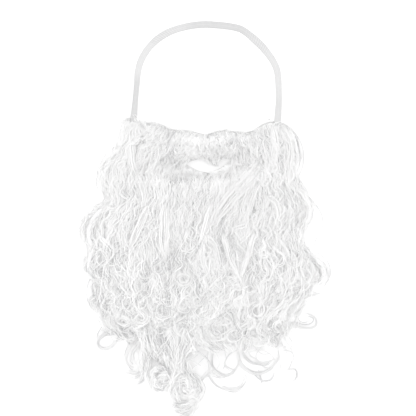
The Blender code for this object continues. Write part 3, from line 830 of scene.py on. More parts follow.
# locks placed one by one at the beard's edge: width, thickness, layer, then the line in the picture
edgeLocks = [
    # left side, downwards
    ("leftTop", 0.011, 0.007, 0.000, [(129, 121), (124, 132), (121, 144), (114, 154), (106, 162),
     (102, 170)]),
    ("leftTopFill", 0.013, 0.008, 0.001, [(132, 122), (128, 134), (125, 146), (119, 158), (112, 168),
     (108, 180)]),
    ("leftTopRim", 0.009, 0.006, 0.000, [(127, 121), (122, 132), (118, 143), (111, 154), (104, 164)]),
    ("leftLobeHighFill", 0.014, 0.008, 0.002, [(118, 154), (110, 165), (105, 176), (105, 188), (109, 200)]),
    ("leftLobeHigh", 0.016, 0.009, 0.001, [(128, 140), (120, 154), (110, 164), (105, 174), (105, 186),
     (110, 198)]),
    ("leftLobeHighRim", 0.008, 0.006, 0.000, [(117, 151), (108, 160), (102, 169), (101, 180), (104, 192),
     (108, 201)]),
    ("leftLobeMiddle", 0.016, 0.010, 0.001, [(114, 198), (105, 207), (97, 214), (91, 224), (89, 236),
     (93, 246), (99, 254)]),
    ("leftLobeMiddleFill", 0.014, 0.009, 0.002, [(109, 204), (99, 212), (92, 221), (88, 231), (90, 243)]),
    ("leftLobeMiddleRim", 0.008, 0.007, 0.000, [(106, 203), (96, 209), (88, 217), (83, 228), (83, 238),
     (88, 246)]),
    ("leftLobeLow", 0.014, 0.009, 0.001, [(99, 240), (93, 252), (89, 262), (90, 271), (97, 277), (107, 279)]),
    ("leftLobeLowRim", 0.008, 0.006, 0.000, [(92, 247), (87, 256), (84, 265), (87, 273), (94, 279),
     (103, 281)]),
    ("leftCurlHigh", 0.008, 0.007, 0.001, [(112, 277), (102, 281), (95, 287), (97, 295), (93, 302), (97, 309),
     (104, 310), (108, 303)]),
    ("leftCurlInner", 0.010, 0.008, 0.001, [(120, 282), (108, 287), (101, 293), (101, 302), (108, 307),
     (114, 302), (113, 294)]),
    ("leftHangLow", 0.010, 0.007, 0.001, [(107, 298), (101, 309), (101, 319), (105, 327), (113, 330),
     (120, 325)]),
    ("leftHangInner", 0.010, 0.007, 0.001, [(117, 304), (110, 313), (109, 322), (114, 328), (122, 326)]),
    ("leftTuftBody", 0.010, 0.007, 0.000, [(146, 328), (143, 345), (141, 360), (142, 373), (138, 382)]),
    # right side, upwards
    ("rightHang", 0.010, 0.007, 0.001, [(288, 288), (286, 301), (283, 314), (287, 326), (283, 337)]),
    ("rightWaveLow", 0.012, 0.008, 0.001, [(295, 266), (300, 279), (303, 291), (300, 303), (294, 312),
     (287, 318)]),
    ("rightCurlSide", 0.009, 0.008, 0.001, [(300, 240), (307, 251), (316, 259), (323, 268), (323, 278),
     (317, 284), (309, 282)]),
    ("rightCurlInner", 0.008, 0.007, 0.001, [(297, 252), (306, 262), (312, 270), (311, 280), (305, 288),
     (302, 298)]),
    ("rightWaveMiddle", 0.014, 0.009, 0.001, [(289, 182), (298, 190), (306, 200), (310, 210), (307, 221),
     (301, 230), (298, 240), (302, 249), (310, 255)]),
    ("rightWaveRim", 0.008, 0.005, 0.000, [(293, 180), (300, 190), (308, 201), (311, 212), (307, 222),
     (301, 232), (303, 244), (313, 254)]),
    ("rightTop", 0.012, 0.008, 0.002, [(280, 126), (289, 130), (294, 140), (297, 154), (296, 168), (292, 180),
     (296, 190)]),
]

# the legs, the trunk and the long tail at the bottom
tailLocks = [
    ("legOuter", 0.009, 0.007, 0.001, [(141, 330), (144, 344), (150, 356), (152, 368)]),
    ("legLeft", 0.010, 0.007, 0.002, [(150, 330), (156, 344), (163, 356), (166, 368)]),
    ("legMiddle", 0.010, 0.007, 0.001, [(160, 330), (167, 344), (174, 356), (180, 368), (188, 378)]),
    ("legRight", 0.009, 0.007, 0.003, [(168, 326), (174, 340), (177, 354), (178, 366)]),
    ("trunk", 0.013, 0.007, 0.005, [(188, 322), (184, 338), (181, 352), (179, 366), (183, 378)]),
    ("trunkRight", 0.009, 0.007, 0.002, [(196, 330), (190, 344), (184, 356), (181, 368), (178, 380)]),
    ("tailLeft", 0.009, 0.008, 0.001, [(178, 372), (173, 382), (172, 392), (177, 401), (184, 407)]),
    ("tailMiddle", 0.010, 0.008, 0.002, [(192, 396), (186, 404), (178, 408), (169, 410)]),
    ("tailRight", 0.010, 0.008, 0.001, [(203, 390), (199, 400), (194, 408), (190, 416)]),
    ("tailEnd", 0.009, 0.007, 0.000, [(194, 402), (188, 409), (180, 413), (172, 412)]),
    ("tailHook", 0.008, 0.006, 0.001, [(182, 402), (190, 406), (192, 412), (186, 417), (179, 413)]),
    ("tailLast", 0.009, 0.006, 0.000, [(194, 406), (192, 415), (186, 420), (178, 421), (172, 418)]),
    ("tailSpikes", 0.008, 0.006, 0.001, [(190, 400), (184, 404), (176, 405), (169, 409)]),
    ("tailLow", 0.009, 0.007, 0.002, [(196, 398), (190, 406), (183, 411), (176, 416)]),
    ("legInner", 0.010, 0.007, 0.002, [(146, 326), (151, 340), (156, 352), (160, 364)]),
    ("legCross", 0.010, 0.007, 0.003, [(172, 330), (166, 342), (160, 354), (156, 366)]),
    ("legBack", 0.010, 0.007, 0.000, [(156, 332), (164, 346), (170, 358), (172, 370)]),
    ("legLow", 0.009, 0.007, 0.001, [(164, 350), (170, 362), (174, 374), (173, 386)]),
    ("trunkWide", 0.012, 0.008, 0.002, [(180, 350), (184, 362), (190, 374), (196, 386)]),
    ("trunkLeft", 0.010, 0.007, 0.001, [(176, 352), (176, 366), (174, 378), (176, 390)]),
    ("swirlSide", 0.010, 0.008, 0.003, [(184, 366), (194, 376), (202, 386), (201, 397), (193, 403)]),
    ("swirlLeft", 0.010, 0.008, 0.002, [(182, 370), (175, 381), (173, 393), (180, 402), (190, 405)]),
    ("ballSide", 0.009, 0.008, 0.002, [(152, 350), (148, 364), (148, 378), (155, 389), (166, 390)]),
    ("ballRight", 0.009, 0.008, 0.002, [(168, 352), (173, 366), (173, 379), (167, 389), (158, 391)]),
]

# curls wound up into a ball: middle in the picture, radius, number of windings
windings = [
    ("ball", 160, 378, 14.0, 15),
    ("swirl", 188, 388, 15.5, 15),
]
windingLook = {"size": (0.30, 0.76), "sweep": (2.0, 4.2), "squash": (0.6, 1.0), "aside": (0.3, 0.9),
               "step": 0.0042, "width": 0.0064, "thickness": 0.006, "layer": 0.001, "rise": 0.007}


def roundCurls():
    rng = random.Random(41)
    found = []
    for name, px, py, radius, count in windings:
        for i in range(count):
            own = radius * rng.uniform(*windingLook["size"])
            start = rng.uniform(0, 2 * math.pi)
            sweep = rng.choice((-1, 1)) * rng.uniform(*windingLook["sweep"])
            squash, lean = rng.uniform(*windingLook["squash"]), rng.uniform(0, math.pi)
            aside = (radius - own) * rng.uniform(*windingLook["aside"])
            askew = rng.uniform(0, 2 * math.pi)
            middleX, middleY = px + math.cos(askew) * aside, py + math.sin(askew) * aside
            flat = []
            for k in range(13):
                angle = start + sweep * k / 12
                u, v = math.cos(angle) * own, math.sin(angle) * own * squash
                flat.append(fromPicture(middleX + u * math.cos(lean) - v * math.sin(lean),
                                        middleY + u * math.sin(lean) + v * math.cos(lean)))
            layer = windingLook["layer"] + windingLook["rise"] * (1 - own / radius)
            path = smoothLine(flat, windingLook["step"])
            found.append(Lock(path, windingLook["width"], windingLook["thickness"], layer, rng.random(),
                              root=0.6, tip=0.5))
    return found


# hair that fills the bottom edge and two thin places on the left
bottomLocks = [
    ("lowLeft", 0.011, 0.007, 0.002, [(190, 318), (195, 330), (202, 340), (212, 347), (222, 351)]),
    ("lowLeftInner", 0.010, 0.007, 0.003, [(200, 322), (206, 334), (214, 342), (224, 347), (231, 351)]),
    ("lowMiddle", 0.010, 0.007, 0.001, [(212, 328), (219, 339), (228, 346), (237, 351)]),
    ("lowUpright", 0.010, 0.007, 0.002, [(235, 316), (238, 330), (239, 342), (237, 354)]),
    ("lowUprightTwin", 0.010, 0.007, 0.001, [(246, 318), (247, 331), (248, 342), (244, 354)]),
    ("lowRight", 0.010, 0.007, 0.002, [(256, 316), (258, 329), (262, 339), (269, 346)]),
    ("lowFarRight", 0.010, 0.007, 0.001, [(266, 316), (269, 330), (274, 340), (278, 350)]),
    ("lowCross", 0.010, 0.007, 0.002, [(224, 314), (231, 327), (240, 335), (251, 339), (262, 337)]),
    ("lowTop", 0.010, 0.007, 0.003, [(184, 326), (188, 337), (193, 346), (199, 352)]),
    ("lowShort", 0.010, 0.007, 0.001, [(203, 332), (209, 344), (213, 353)]),
    ("lowSide", 0.010, 0.007, 0.001, [(268, 304), (276, 317), (283, 329), (288, 340)]),
    ("leftFill", 0.012, 0.007, 0.004, [(118, 284), (110, 294), (105, 303), (105, 313), (112, 323)]),
    ("leftFillLow", 0.012, 0.007, 0.003, [(130, 304), (123, 315), (118, 325), (123, 334), (131, 334)]),
    ("leftFillLast", 0.012, 0.007, 0.004, [(118, 308), (117, 320), (121, 330), (129, 337), (137, 336)]),
    ("leftFillCross", 0.010, 0.007, 0.004, [(140, 312), (132, 322), (124, 329), (116, 330)]),
    ("lowSwirl", 0.011, 0.007, 0.004, [(216, 298), (207, 309), (204, 321), (208, 332), (219, 338),
     (231, 333)]),
    ("lowSwirlInner", 0.010, 0.007, 0.004, [(228, 308), (218, 314), (212, 323), (215, 331), (224, 332)]),
    ("lowSweep", 0.012, 0.007, 0.003, [(196, 326), (204, 336), (215, 343), (228, 347)]),
    ("lowDropLeft", 0.010, 0.007, 0.004, [(176, 262), (172, 278), (172, 294), (176, 310), (178, 326)]),
    ("lowDropRight", 0.010, 0.007, 0.004, [(256, 276), (260, 290), (258, 304), (260, 318), (264, 330)]),
    ("lowDark", 0.011, 0.007, 0.003, [(250, 310), (246, 321), (240, 331), (234, 340)]),
    ("lowLegs", 0.011, 0.007, 0.003, [(158, 314), (156, 326), (159, 337), (164, 346)]),
]

# thin loops, rings and ends that lie clear of the rest
loopLocks = [
    ("leftCurlThin", 0.0026, 0.003, 0.000, [(108, 277), (98, 280), (92, 286), (93, 295), (89, 302), (93, 309),
     (101, 313)]),
    ("leftLoop", 0.0034, 0.003, 0.000, [(122, 323), (115, 331), (105, 333), (98, 339), (99, 347), (106, 350),
     (114, 345), (119, 335), (124, 326)]),
    ("leftLoopTwin", 0.0020, 0.002, 0.000, [(120, 331), (112, 335), (104, 336), (99, 342), (103, 347),
     (110, 345), (116, 338)]),
    ("leftTuftUpper", 0.0046, 0.004, 0.000, [(138, 330), (133, 342), (128, 352), (126, 361), (131, 366),
     (138, 367)]),
    ("leftTuftInner", 0.0036, 0.004, 0.000, [(142, 332), (138, 344), (133, 354), (134, 362), (139, 368)]),
    ("leftTuftTip", 0.0075, 0.005, 0.000, [(148, 352), (144, 365), (138, 371), (130, 372), (122, 372)]),
    ("leftTuftMiddle", 0.0070, 0.005, 0.000, [(148, 356), (144, 369), (138, 376), (131, 379), (125, 381)]),
    ("leftTuftEnd", 0.0060, 0.004, 0.000, [(150, 360), (146, 374), (141, 382), (134, 386)]),
    ("leftTuftSpike", 0.0030, 0.003, 0.000, [(119, 329), (125, 338), (131, 345), (136, 339)]),
    ("diamondTop", 0.0046, 0.004, 0.001, [(183, 361), (190, 356), (198, 352), (205, 357), (210, 363),
     (214, 370)]),
    ("diamondRight", 0.0024, 0.003, 0.000, [(212, 364), (208, 371), (203, 376), (198, 381)]),
    ("diamondTwin", 0.0016, 0.002, 0.000, [(214, 368), (209, 374), (203, 379), (198, 385)]),
    ("diamondLeft", 0.0036, 0.003, 0.000, [(182, 362), (187, 368), (193, 374), (199, 379), (204, 381)]),
    ("ringOuter", 0.0040, 0.004, 0.000, [(213, 346), (212, 357), (213, 366), (218, 372), (226, 375),
     (233, 373), (238, 366), (239, 356), (236, 346)]),
    ("ringInner", 0.0028, 0.003, 0.001, [(237, 349), (230, 353), (226, 358), (225, 364), (229, 369),
     (236, 370), (241, 364)]),
    ("ringTwin", 0.0016, 0.002, 0.000, [(208, 350), (208, 361), (211, 370), (218, 376), (228, 378)]),
    ("longArc", 0.0034, 0.003, 0.000, [(208, 374), (213, 382), (220, 387), (229, 391), (237, 391), (244, 386),
     (247, 379), (243, 373), (236, 367)]),
    ("longArcTwin", 0.0018, 0.002, 0.000, [(222, 386), (231, 388), (239, 386), (244, 380), (240, 373)]),
    ("rightLoopOne", 0.0052, 0.004, 0.001, [(237, 346), (239, 358), (244, 367), (252, 372), (261, 372),
     (270, 368), (276, 361), (278, 351), (276, 340)]),
    ("rightLoopTwo", 0.0040, 0.003, 0.000, [(245, 342), (243, 352), (248, 360), (257, 364), (266, 364),
     (274, 359)]),
    ("rightLoopThree", 0.0024, 0.003, 0.000, [(247, 350), (252, 357), (261, 362), (270, 361), (277, 356)]),
    ("rightSmallRing", 0.0028, 0.003, 0.000, [(250, 370), (256, 376), (263, 381), (270, 380), (274, 374),
     (272, 367), (266, 363)]),
    ("rightOuterHang", 0.0026, 0.002, 0.000, [(277, 338), (279, 352), (281, 364), (278, 374), (272, 382)]),
    ("rightStrayEnd", 0.0016, 0.002, 0.000, [(258, 370), (261, 379), (263, 387)]),
    ("rightPieceHigh", 0.0022, 0.002, 0.000, [(278, 340), (284, 346), (290, 348)]),
    ("rightPieceLow", 0.0020, 0.002, 0.000, [(282, 351), (289, 351), (294, 354)]),
    ("rightPieceLast", 0.0016, 0.002, 0.000, [(287, 370), (294, 369), (297, 374), (294, 380), (288, 384)]),
    ("rightRing", 0.0032, 0.003, 0.000, [(288, 300), (285, 310), (289, 319), (296, 326), (306, 328),
     (315, 326), (317, 320), (312, 315), (303, 313), (295, 316)]),
    ("rightRingTwin", 0.0020, 0.002, 0.000, [(290, 311), (294, 321), (303, 325), (312, 323), (313, 318),
     (304, 315)]),
    ("rightWispHigh", 0.0030, 0.003, 0.000, [(296, 280), (302, 292), (309, 296), (316, 294), (325, 291)]),
    ("rightWispOne", 0.0026, 0.003, 0.000, [(276, 330), (284, 337), (290, 346), (296, 355)]),
    ("rightWispTwo", 0.0020, 0.002, 0.000, [(280, 338), (284, 348), (291, 351), (294, 357), (291, 364),
     (288, 370), (295, 369), (298, 376), (293, 382), (288, 383)]),
    ("rightCurlThin", 0.0024, 0.002, 0.000, [(308, 251), (318, 259), (327, 268), (328, 281), (320, 289)]),
    ("rightCurlHook", 0.0030, 0.003, 0.000, [(302, 256), (312, 262), (319, 270), (317, 279), (309, 277)]),
    ("rightTopRim", 0.0044, 0.004, 0.000, [(282, 124), (291, 130), (296, 141), (299, 155), (297, 169),
     (292, 178)]),
    ("rightWaveThin", 0.0018, 0.002, 0.000, [(297, 178), (302, 187), (309, 197), (313, 207), (311, 218),
     (304, 228)]),
    ("leftTopThin", 0.0018, 0.002, 0.000, [(127, 121), (121, 133), (119, 146), (111, 156), (101, 162)]),
    ("leftLobeThin", 0.0022, 0.002, 0.000, [(103, 202), (92, 208), (83, 219), (80, 232), (82, 243)]),
]

# loose ringlets over the lower half: each drops in a wave and winds up into a curl
ringlets = {"count": 100, "fromY": 244, "toY": 334, "radius": 0.0092, "turns": 0.85, "width": 0.0072,
            "thickness": 0.0050, "layer": 0.0026, "drop": 22, "spacing": 0.6180339, "inset": 4,
            "size": (0.55, 1.2), "fall": (0.6, 1.3), "wound": (0.5, 1.35), "aside": 9, "swing": 3,
            "curlStep": 0.004, "shrink": 0.35, "squash": 0.45, "step": 0.0062}


def makeRinglets():
    rng = random.Random(321)
    found = []
    for i in range(ringlets["count"]):
        share = (i * ringlets["spacing"]) % 1.0
        low = rng.random()
        py = ringlets["fromY"] + (ringlets["toY"] - ringlets["fromY"]) * low ** 0.8
        left = readTable(outline, py, 1) + ringlets["inset"]
        right = readTable(outline, py, 2) - ringlets["inset"]
        px = left + (right - left) * share
        hand = 1 if rng.random() < 0.5 else -1
        radius = ringlets["radius"] * rng.uniform(*ringlets["size"])
        drop = ringlets["drop"] * rng.uniform(*ringlets["fall"])
        centre = fromPicture(px, py)
        root = fromPicture(px + hand * 4 + rng.uniform(-1, 1) * ringlets["aside"], py - drop)
        turns = hand * ringlets["turns"] * rng.uniform(*ringlets["wound"])
        curl = curlAround(root, centre, radius, turns, ringlets["curlStep"], ringlets["shrink"],
                          rng.uniform(0.0, ringlets["squash"]))
        flat = []
        swing = rng.uniform(-1, 1) * ringlets["swing"] * picture["step"]
        for k in range(5):
            t = k / 5
            p = root.lerp(curl[0], t)
            p.x += swing * math.sin(math.pi * 2 * t)
            flat.append(p)
        path = smoothLine(flat + curl, ringlets["step"])
        found.append(Lock(path, ringlets["width"] * rng.uniform(0.6, 1.3),
                          ringlets["thickness"], ringlets["layer"] + rng.uniform(-0.002, 0.003), rng.random(),
                          root=0.5, tip=0.45, narrowFrom=0.7))
    return found


# smooth locks that lie over the rest, in the same way
topLocks = [
    ("cheekBundle", 0.012, 0.006, 0.004, [(280, 127), (287, 138), (289, 152), (288, 168), (286, 182),
     (291, 196)]),
    ("cheekInner", 0.010, 0.006, 0.004, [(272, 126), (275, 138), (275, 152), (271, 168), (262, 182),
     (254, 196)]),
    ("smoothPatch", 0.030, 0.006, 0.0076, [(262, 158), (255, 172), (242, 186), (230, 200), (218, 216),
     (212, 232)]),
    ("smoothPatchLow", 0.018, 0.006, 0.0070, [(258, 180), (250, 196), (246, 210), (240, 226)]),
    ("middleStreak", 0.0060, 0.006, 0.0060, [(212, 204), (208, 214), (205, 225), (202, 236), (197, 248)]),
    ("pillar", 0.013, 0.006, 0.0070, [(167, 204), (165, 212), (165, 226), (165, 244), (168, 262)]),
    ("veeLeft", 0.008, 0.006, 0.0074, [(222, 232), (226, 244), (230, 258), (236, 270), (241, 278)]),
    ("veeRight", 0.008, 0.006, 0.0074, [(254, 232), (251, 244), (248, 256), (243, 268), (240, 279)]),
    ("hookRight", 0.009, 0.006, 0.006, [(265, 208), (268, 199), (275, 203), (278, 213), (275, 224)]),
    ("leftShine", 0.013, 0.006, 0.0066, [(130, 134), (132, 150), (134, 166), (141, 182), (145, 198),
     (142, 214)]),
    ("leftShineLow", 0.010, 0.006, 0.0055, [(150, 204), (143, 220), (136, 236), (130, 250)]),
    ("leftSweep", 0.014, 0.006, 0.0055, [(140, 124), (150, 138), (156, 152), (152, 168), (146, 184)]),
    ("archMiddle", 0.012, 0.006, 0.0055, [(202, 244), (208, 238), (215, 244), (219, 258), (222, 276)]),
    ("archLeft", 0.010, 0.006, 0.0055, [(204, 240), (203, 256), (207, 270), (213, 282)]),
]


def placedLocks(rows, seed, tone=None):
    rng = random.Random(seed)
    found = []
    for name, width, thickness, layer, line in rows:
        path = pictureLine(line, placed["step"])
        found.append(Lock(path, width, thickness, layer, tone or rng.random(), root=placed["root"],
                          tip=placed["tip"], narrowFrom=placed["narrowFrom"]))
    return found


# single hairs that stand out from the edge, as lines in the picture
strayLines = [
    [(303, 190), (312, 200), (321, 212), (323, 226), (316, 240), (314, 251)],
    [(296, 176), (303, 184), (308, 194), (304, 202)],
    [(108, 150), (99, 166), (96, 182), (100, 196)],
    [(100, 205), (87, 214), (80, 228), (81, 240)],
    [(96, 270), (88, 284), (87, 298), (91, 308)],
    [(296, 134), (303, 148), (303, 166), (297, 180)],
    [(316, 252), (328, 262), (330, 276), (322, 290)],
    [(184, 354), (194, 361), (204, 366)],
    [(207, 353), (199, 362), (190, 370)],
    [(224, 348), (226, 360), (222, 372)],
    [(216, 352), (220, 362), (216, 370)],
    [(212, 376), (222, 378), (232, 374)],
    [(262, 345), (256, 356), (262, 366), (273, 369)],
    [(248, 352), (261, 350), (272, 356), (277, 366)],
    [(252, 344), (262, 354), (274, 352)],
    [(284, 332), (292, 342), (289, 352)],
    [(286, 352), (291, 362), (287, 372)],
    [(128, 344), (125, 356), (130, 368), (140, 372)],
    [(134, 350), (130, 360), (135, 366)],
    [(102, 326), (97, 336), (100, 346), (109, 348)],
    [(295, 314), (302, 322), (311, 320)],
    [(266, 127), (268, 120), (272, 120)],
    [(300, 292), (308, 290), (317, 293), (323, 297)],
    [(170, 372), (168, 384), (173, 396)],
    [(200, 384), (205, 392), (201, 402)],
]

# what the strand tree is given for each kind of hair
strandInputs = ("Strands", "Radius", "Fill", "Twist", "Wander", "Wander Scale",
                "Crimp", "Crimp Waves", "Loose Ends", "Seed")
strandLooks = {name: dict(zip(strandInputs, numbers)) for name, *numbers in (
    ("upper", 11, 0.00035, 1.60, 1.6, 0.0120, 84.0, 0.0011, 40.0, 0.5, 11),
    ("middle", 8, 0.00035, 1.65, 3.6, 0.0160, 84.0, 0.0014, 42.0, 0.5, 23),
    ("lower", 9, 0.00040, 1.65, 4.5, 0.0170, 66.0, 0.0012, 38.0, 0.5, 37),
    ("edge", 22, 0.00034, 1.20, 2.4, 0.0120, 85.0, 0.0014, 40.0, 0.35, 41),
    ("tail", 18, 0.00038, 1.20, 2.5, 0.0100, 95.0, 0.0009, 22.0, 0.4, 43),
    ("loop", 12, 0.00036, 1.1, 2.0, 0.0040, 70.0, 0.0004, 20.0, 0.4, 47),
    ("top", 36, 0.00033, 1.05, 0.5, 0.0032, 40.0, 0.0002, 18.0, 0.8, 53),
    ("lip", 9, 0.00034, 1.40, 2.0, 0.0090, 110.0, 0.0012, 22.0, 0.5, 67),
    ("fringe", 13, 0.00034, 1.30, 1.0, 0.0040, 110.0, 0.0005, 14.0, 0.15, 59),
    ("roots", 5, 0.00028, 1.5, 1.0, 0.0060, 120.0, 0.0006, 10.0, 0.5, 61),
    ("ringlet", 11, 0.00038, 1.15, 1.2, 0.0050, 50.0, 0.0003, 16.0, 0.35, 83),
    ("fuzz", 2, 0.00026, 2.2, 5.0, 0.0300, 40.0, 0.0010, 30.0, 0.6, 97),
    ("stray", 3, 0.00034, 1.0, 1.0, 0.0030, 30.0, 0.0002, 12.0, 0.1, 71),
)}

rows = {row[0]: rowLocks(row, 100 + 13 * i) for i, row in enumerate(hairRows)}
edge = placedLocks(edgeLocks, 5)
# the top locks' high tone keeps their strands pale: painted highlights
top = placedLocks(topLocks, 6, 0.8)
underLine = placedLocks([
    ("underLine", 0.0016, 0.001, 0.001, [(206, 172.6), (213, 172.4), (220, 170.2), (226, 167.2),
     (230, 163.6)]),
], 9, 1.0)
tail = placedLocks(tailLocks, 8) + roundCurls() + underLine
loops = placedLocks(loopLocks, 7)
# the strays' low tone paints them darker still: painted shade
strays = [Lock(pictureLine(line, 0.004), 0.0012, 0.0012, 0.0, 0.2) for line in strayLines]

# widths in metres that part wide locks from thin ones
split = {"loops": 0.0029, "bodies": 0.0085}
wideLoops = [lock for lock in loops if max(lock.widths) > split["loops"]]
thinLoops = [lock for lock in loops if max(lock.widths) <= split["loops"]]
hairPieces = [
    growStrands("hairHem", rows["hem"], strandLooks["lower"], lowFibre),
    growStrands("hairLow", rows["low"], strandLooks["lower"], lowFibre),
    growStrands("hairLowMiddle", rows["lowMiddle"], strandLooks["middle"]),
    growStrands("hairMiddle", rows["middle"], strandLooks["middle"]),
    growStrands("hairHighMiddle", rows["highMiddle"], strandLooks["upper"]),
    growStrands("hairChin", rows["chin"], strandLooks["upper"]),
    growStrands("hairCheeks", rows["leftCheek"] + rows["rightCheek"], strandLooks["upper"]),
    growStrands("hairEdge", edge, strandLooks["edge"], lowFibre),
    growStrands("hairTail", tail, strandLooks["tail"], lowFibre),
    growStrands("hairBottom", placedLocks(bottomLocks, 12), strandLooks["edge"], lowFibre),
    growStrands("hairUnderLip", underLip(), strandLooks["upper"], lowFibre),
    growStrands("hairTop", top, strandLooks["top"]),
    growStrands("hairRinglets", makeRinglets(), strandLooks["ringlet"], lowFibre),
    growStrands("hairFuzz", rows["low"] + rows["chin"], strandLooks["fuzz"]),
    growStrands("hairLoops", wideLoops, strandLooks["loop"], looseShadedFibre),
    growStrands("hairThinLoops", thinLoops, dict(strandLooks["loop"], Strands=6), looseShadedFibre),
    growStrands("hairStrays", strays, strandLooks["stray"], looseShadedFibre),
]
wideLocks = [lock for lock in edge if max(lock.widths) > split["bodies"]]
hairPieces.append(growBodies("hairBodies", wideLocks, 0.4, 8))
print("long hair grown")


# The moustache's heap above the opening
heap = {"y": 0.052, "half": 0.028, "least": 0.0050, "crown": 0.0120, "clear": 0.0008}


def lipHeight(x, y):
    own = heap["least"] + heap["crown"] * archOver(max(-1.0, min(1.0, (y - heap["y"]) / heap["half"])))
    own *= mouthEase(x, y) * hemEase(x, y)
    return max(own, bedHeight(x, y) + heap["clear"])


# The bed under the locks: square cells between a flat base and the locks' underside
bed = {"cell": 0.0046, "inset": 0.009, "drop": 0.0020, "base": 0.0030, "least": 0.0046, "hemGap": 4,
       "mouthGap": 0.003, "x": (-0.136, 0.126), "y": (-0.236, 0.086)}
# how far down the bed goes in the picture
bedBottom = [(100, 312), (112, 326), (125, 331), (140, 332), (150, 342), (160, 352), (176, 356), (186, 345),
             (200, 340), (230, 340), (250, 335), (270, 330), (285, 322), (297, 310)]


# the opening in the cloth: its corners, how far it swells below and above their line, parts of each edge
slit = {"left": (-0.026, 0.028), "right": (0.035, 0.033), "below": 0.0135, "above": 0.0050, "parts": 28}


def mouthEdges():
    left, right = Vector((*slit["left"], 0)), Vector((*slit["right"], 0))
    lower, upper = [], []
    for i in range(slit["parts"] + 1):
        t = i / slit["parts"]
        swell = math.sin(math.pi * t)
        middle = left.lerp(right, t)
        lower.append(middle - Vector((0, slit["below"] * swell, 0)))
        upper.append(middle + Vector((0, slit["above"] * swell, 0)))
    return lower, upper


def inMouth(x, y, grow):
    (leftX, leftY), (rightX, rightY) = slit["left"], slit["right"]
    t = (x - leftX) / (rightX - leftX)
    if not 0 < t < 1:
        return False
    middle = leftY + (rightY - leftY) * t
    swell = math.sin(math.pi * t)
    return middle - slit["below"] * swell - grow < y < middle + slit["above"] * swell + grow


def bedCovers(x, y):
    px, py = toPicture(x, y)
    if not readTable(bedSections, y, 1) + bed["inset"] < x < readTable(bedSections, y, 2) - bed["inset"]:
        return False
    if inMouth(x, y, bed["mouthGap"]):
        return False
    return hemLine(px) + bed["hemGap"] < py < readTable(bedBottom, px, 1)


def makeBed():
    step = bed["cell"]
    xs, ys = np.arange(*bed["x"], step), np.arange(*bed["y"], step)
    cells = {(i, j) for i in range(len(xs) - 1) for j in range(len(ys) - 1)
             if bedCovers(xs[i] + step / 2, ys[j] + step / 2)}
    points, faces, spots = [], [], {}
    values = {"around": [], "along": [], "lockTone": []}

    def spot(i, j, top):
        if (i, j, top) not in spots:
            x, y = xs[i], ys[j]
            high = lipHeight(x, y) if y > 0.030 and abs(x) < 0.075 else bedHeight(x, y)
            spots[i, j, top] = len(points)
            points.append((x, y, max(high - bed["drop"], bed["least"]) if top else bed["base"]))
            values["around"].append((x + 0.14) * 23)
            values["along"].append((y + 0.24) * 50)
            values["lockTone"].append(0.3)
        return spots[i, j, top]

    for i, j in sorted(cells):
        corners = [(i, j), (i + 1, j), (i + 1, j + 1), (i, j + 1)]
        faces.append(tuple(spot(a, b, True) for a, b in corners))
        faces.append(tuple(spot(a, b, False) for a, b in reversed(corners)))
        ends = corners[1:] + corners[:1]
        for a, b, beside in zip(corners, ends, ((0, -1), (1, 0), (0, 1), (-1, 0))):
            if (i + beside[0], j + beside[1]) not in cells:
                faces.append((spot(*b, True), spot(*a, True), spot(*a, False), spot(*b, False)))
    return placeMesh("hairBed", points, faces, hairMass, values)


hairPieces.append(makeBed())


# The locks that show from behind, between the cloth and the beard's edge
back = {"count": 36, "width": 0.0150, "thickness": 0.0034, "deep": 0.0021, "twin": 0.0007,
        "overCloth": 0.0026, "step": 0.0095, "startY": 178, "sideRise": 46, "footY": 320, "clothX": 0.118,
        "clothY": 0.120, "parts": 14}


def clearance(p):
    reach = (p.x / back["clothX"]) ** 2 + (min(p.y - 0.03, 0) / back["clothY"]) ** 2
    return back["overCloth"] * within((1.15 - reach) * 8)


def backLocks():
    rng = random.Random(91)
    found = []
    for i in range(back["count"]):
        share = 0.025 + 0.95 * (i + rng.uniform(-0.25, 0.25)) / (back["count"] - 1)
        side = within((abs(2 * share - 1) - 0.70) / 0.12)
        start = back["startY"] - back["sideRise"] * side + rng.uniform(-6, 6)
        foot = toPicture(flowPoint(share, back["footY"], 0, 0, 50, 0).x, 0)[0]
        end = readTable(bedBottom, foot, 1) + rng.uniform(2, 7)
        phase, length = rng.uniform(0, 6), rng.uniform(40, 60)
        flat = [flowPoint(share, start + (end - start) * k / back["parts"], 2.4, phase, length, 0.5)
                for k in range(back["parts"] + 1)]
        path = smoothLine(flat, back["step"])
        lock = Lock(path, back["width"] * rng.uniform(0.8, 1.15), back["thickness"], 0.0, rng.random(),
                    root=0.8, tip=0.6)
        deep = back["deep"] + back["twin"] * (i % 2)
        setHeights(lock, lambda k, p: deep + clearance(p))
        found.append(lock)
    return found


behind = backLocks()
hairPieces.append(growBodies("hairBackBodies", behind, 1.0, 8))
hairPieces.append(growStrands("hairBack", behind,
                              dict(strandLooks["upper"], Strands=3, Fill=1.3, Wander=0.0060)))


# Moustache
lip = {"rows": 4, "count": 30, "fromX": 150, "toX": 264, "width": 0.0070, "thickness": 0.0050,
       "curl": 0.0040, "centre": 207, "half": 55, "top": 2.5, "rowGap": 7, "lean": 19, "length": 18,
       "least": 5, "layer": 0.0010}


# where the moustache hair ends over the opening, with the tuft's point
lipEdge = [(184, 163.8), (188, 162.0), (192, 160.8), (200, 160.3), (205, 161.0), (210, 163.2), (217, 167.6),
           (219, 164.6), (223, 160.8), (228, 157.6), (236, 156.6)]


def mouthTop(px):
    return readTable(lipEdge, px, 1) if 184 < px < 236 else 186


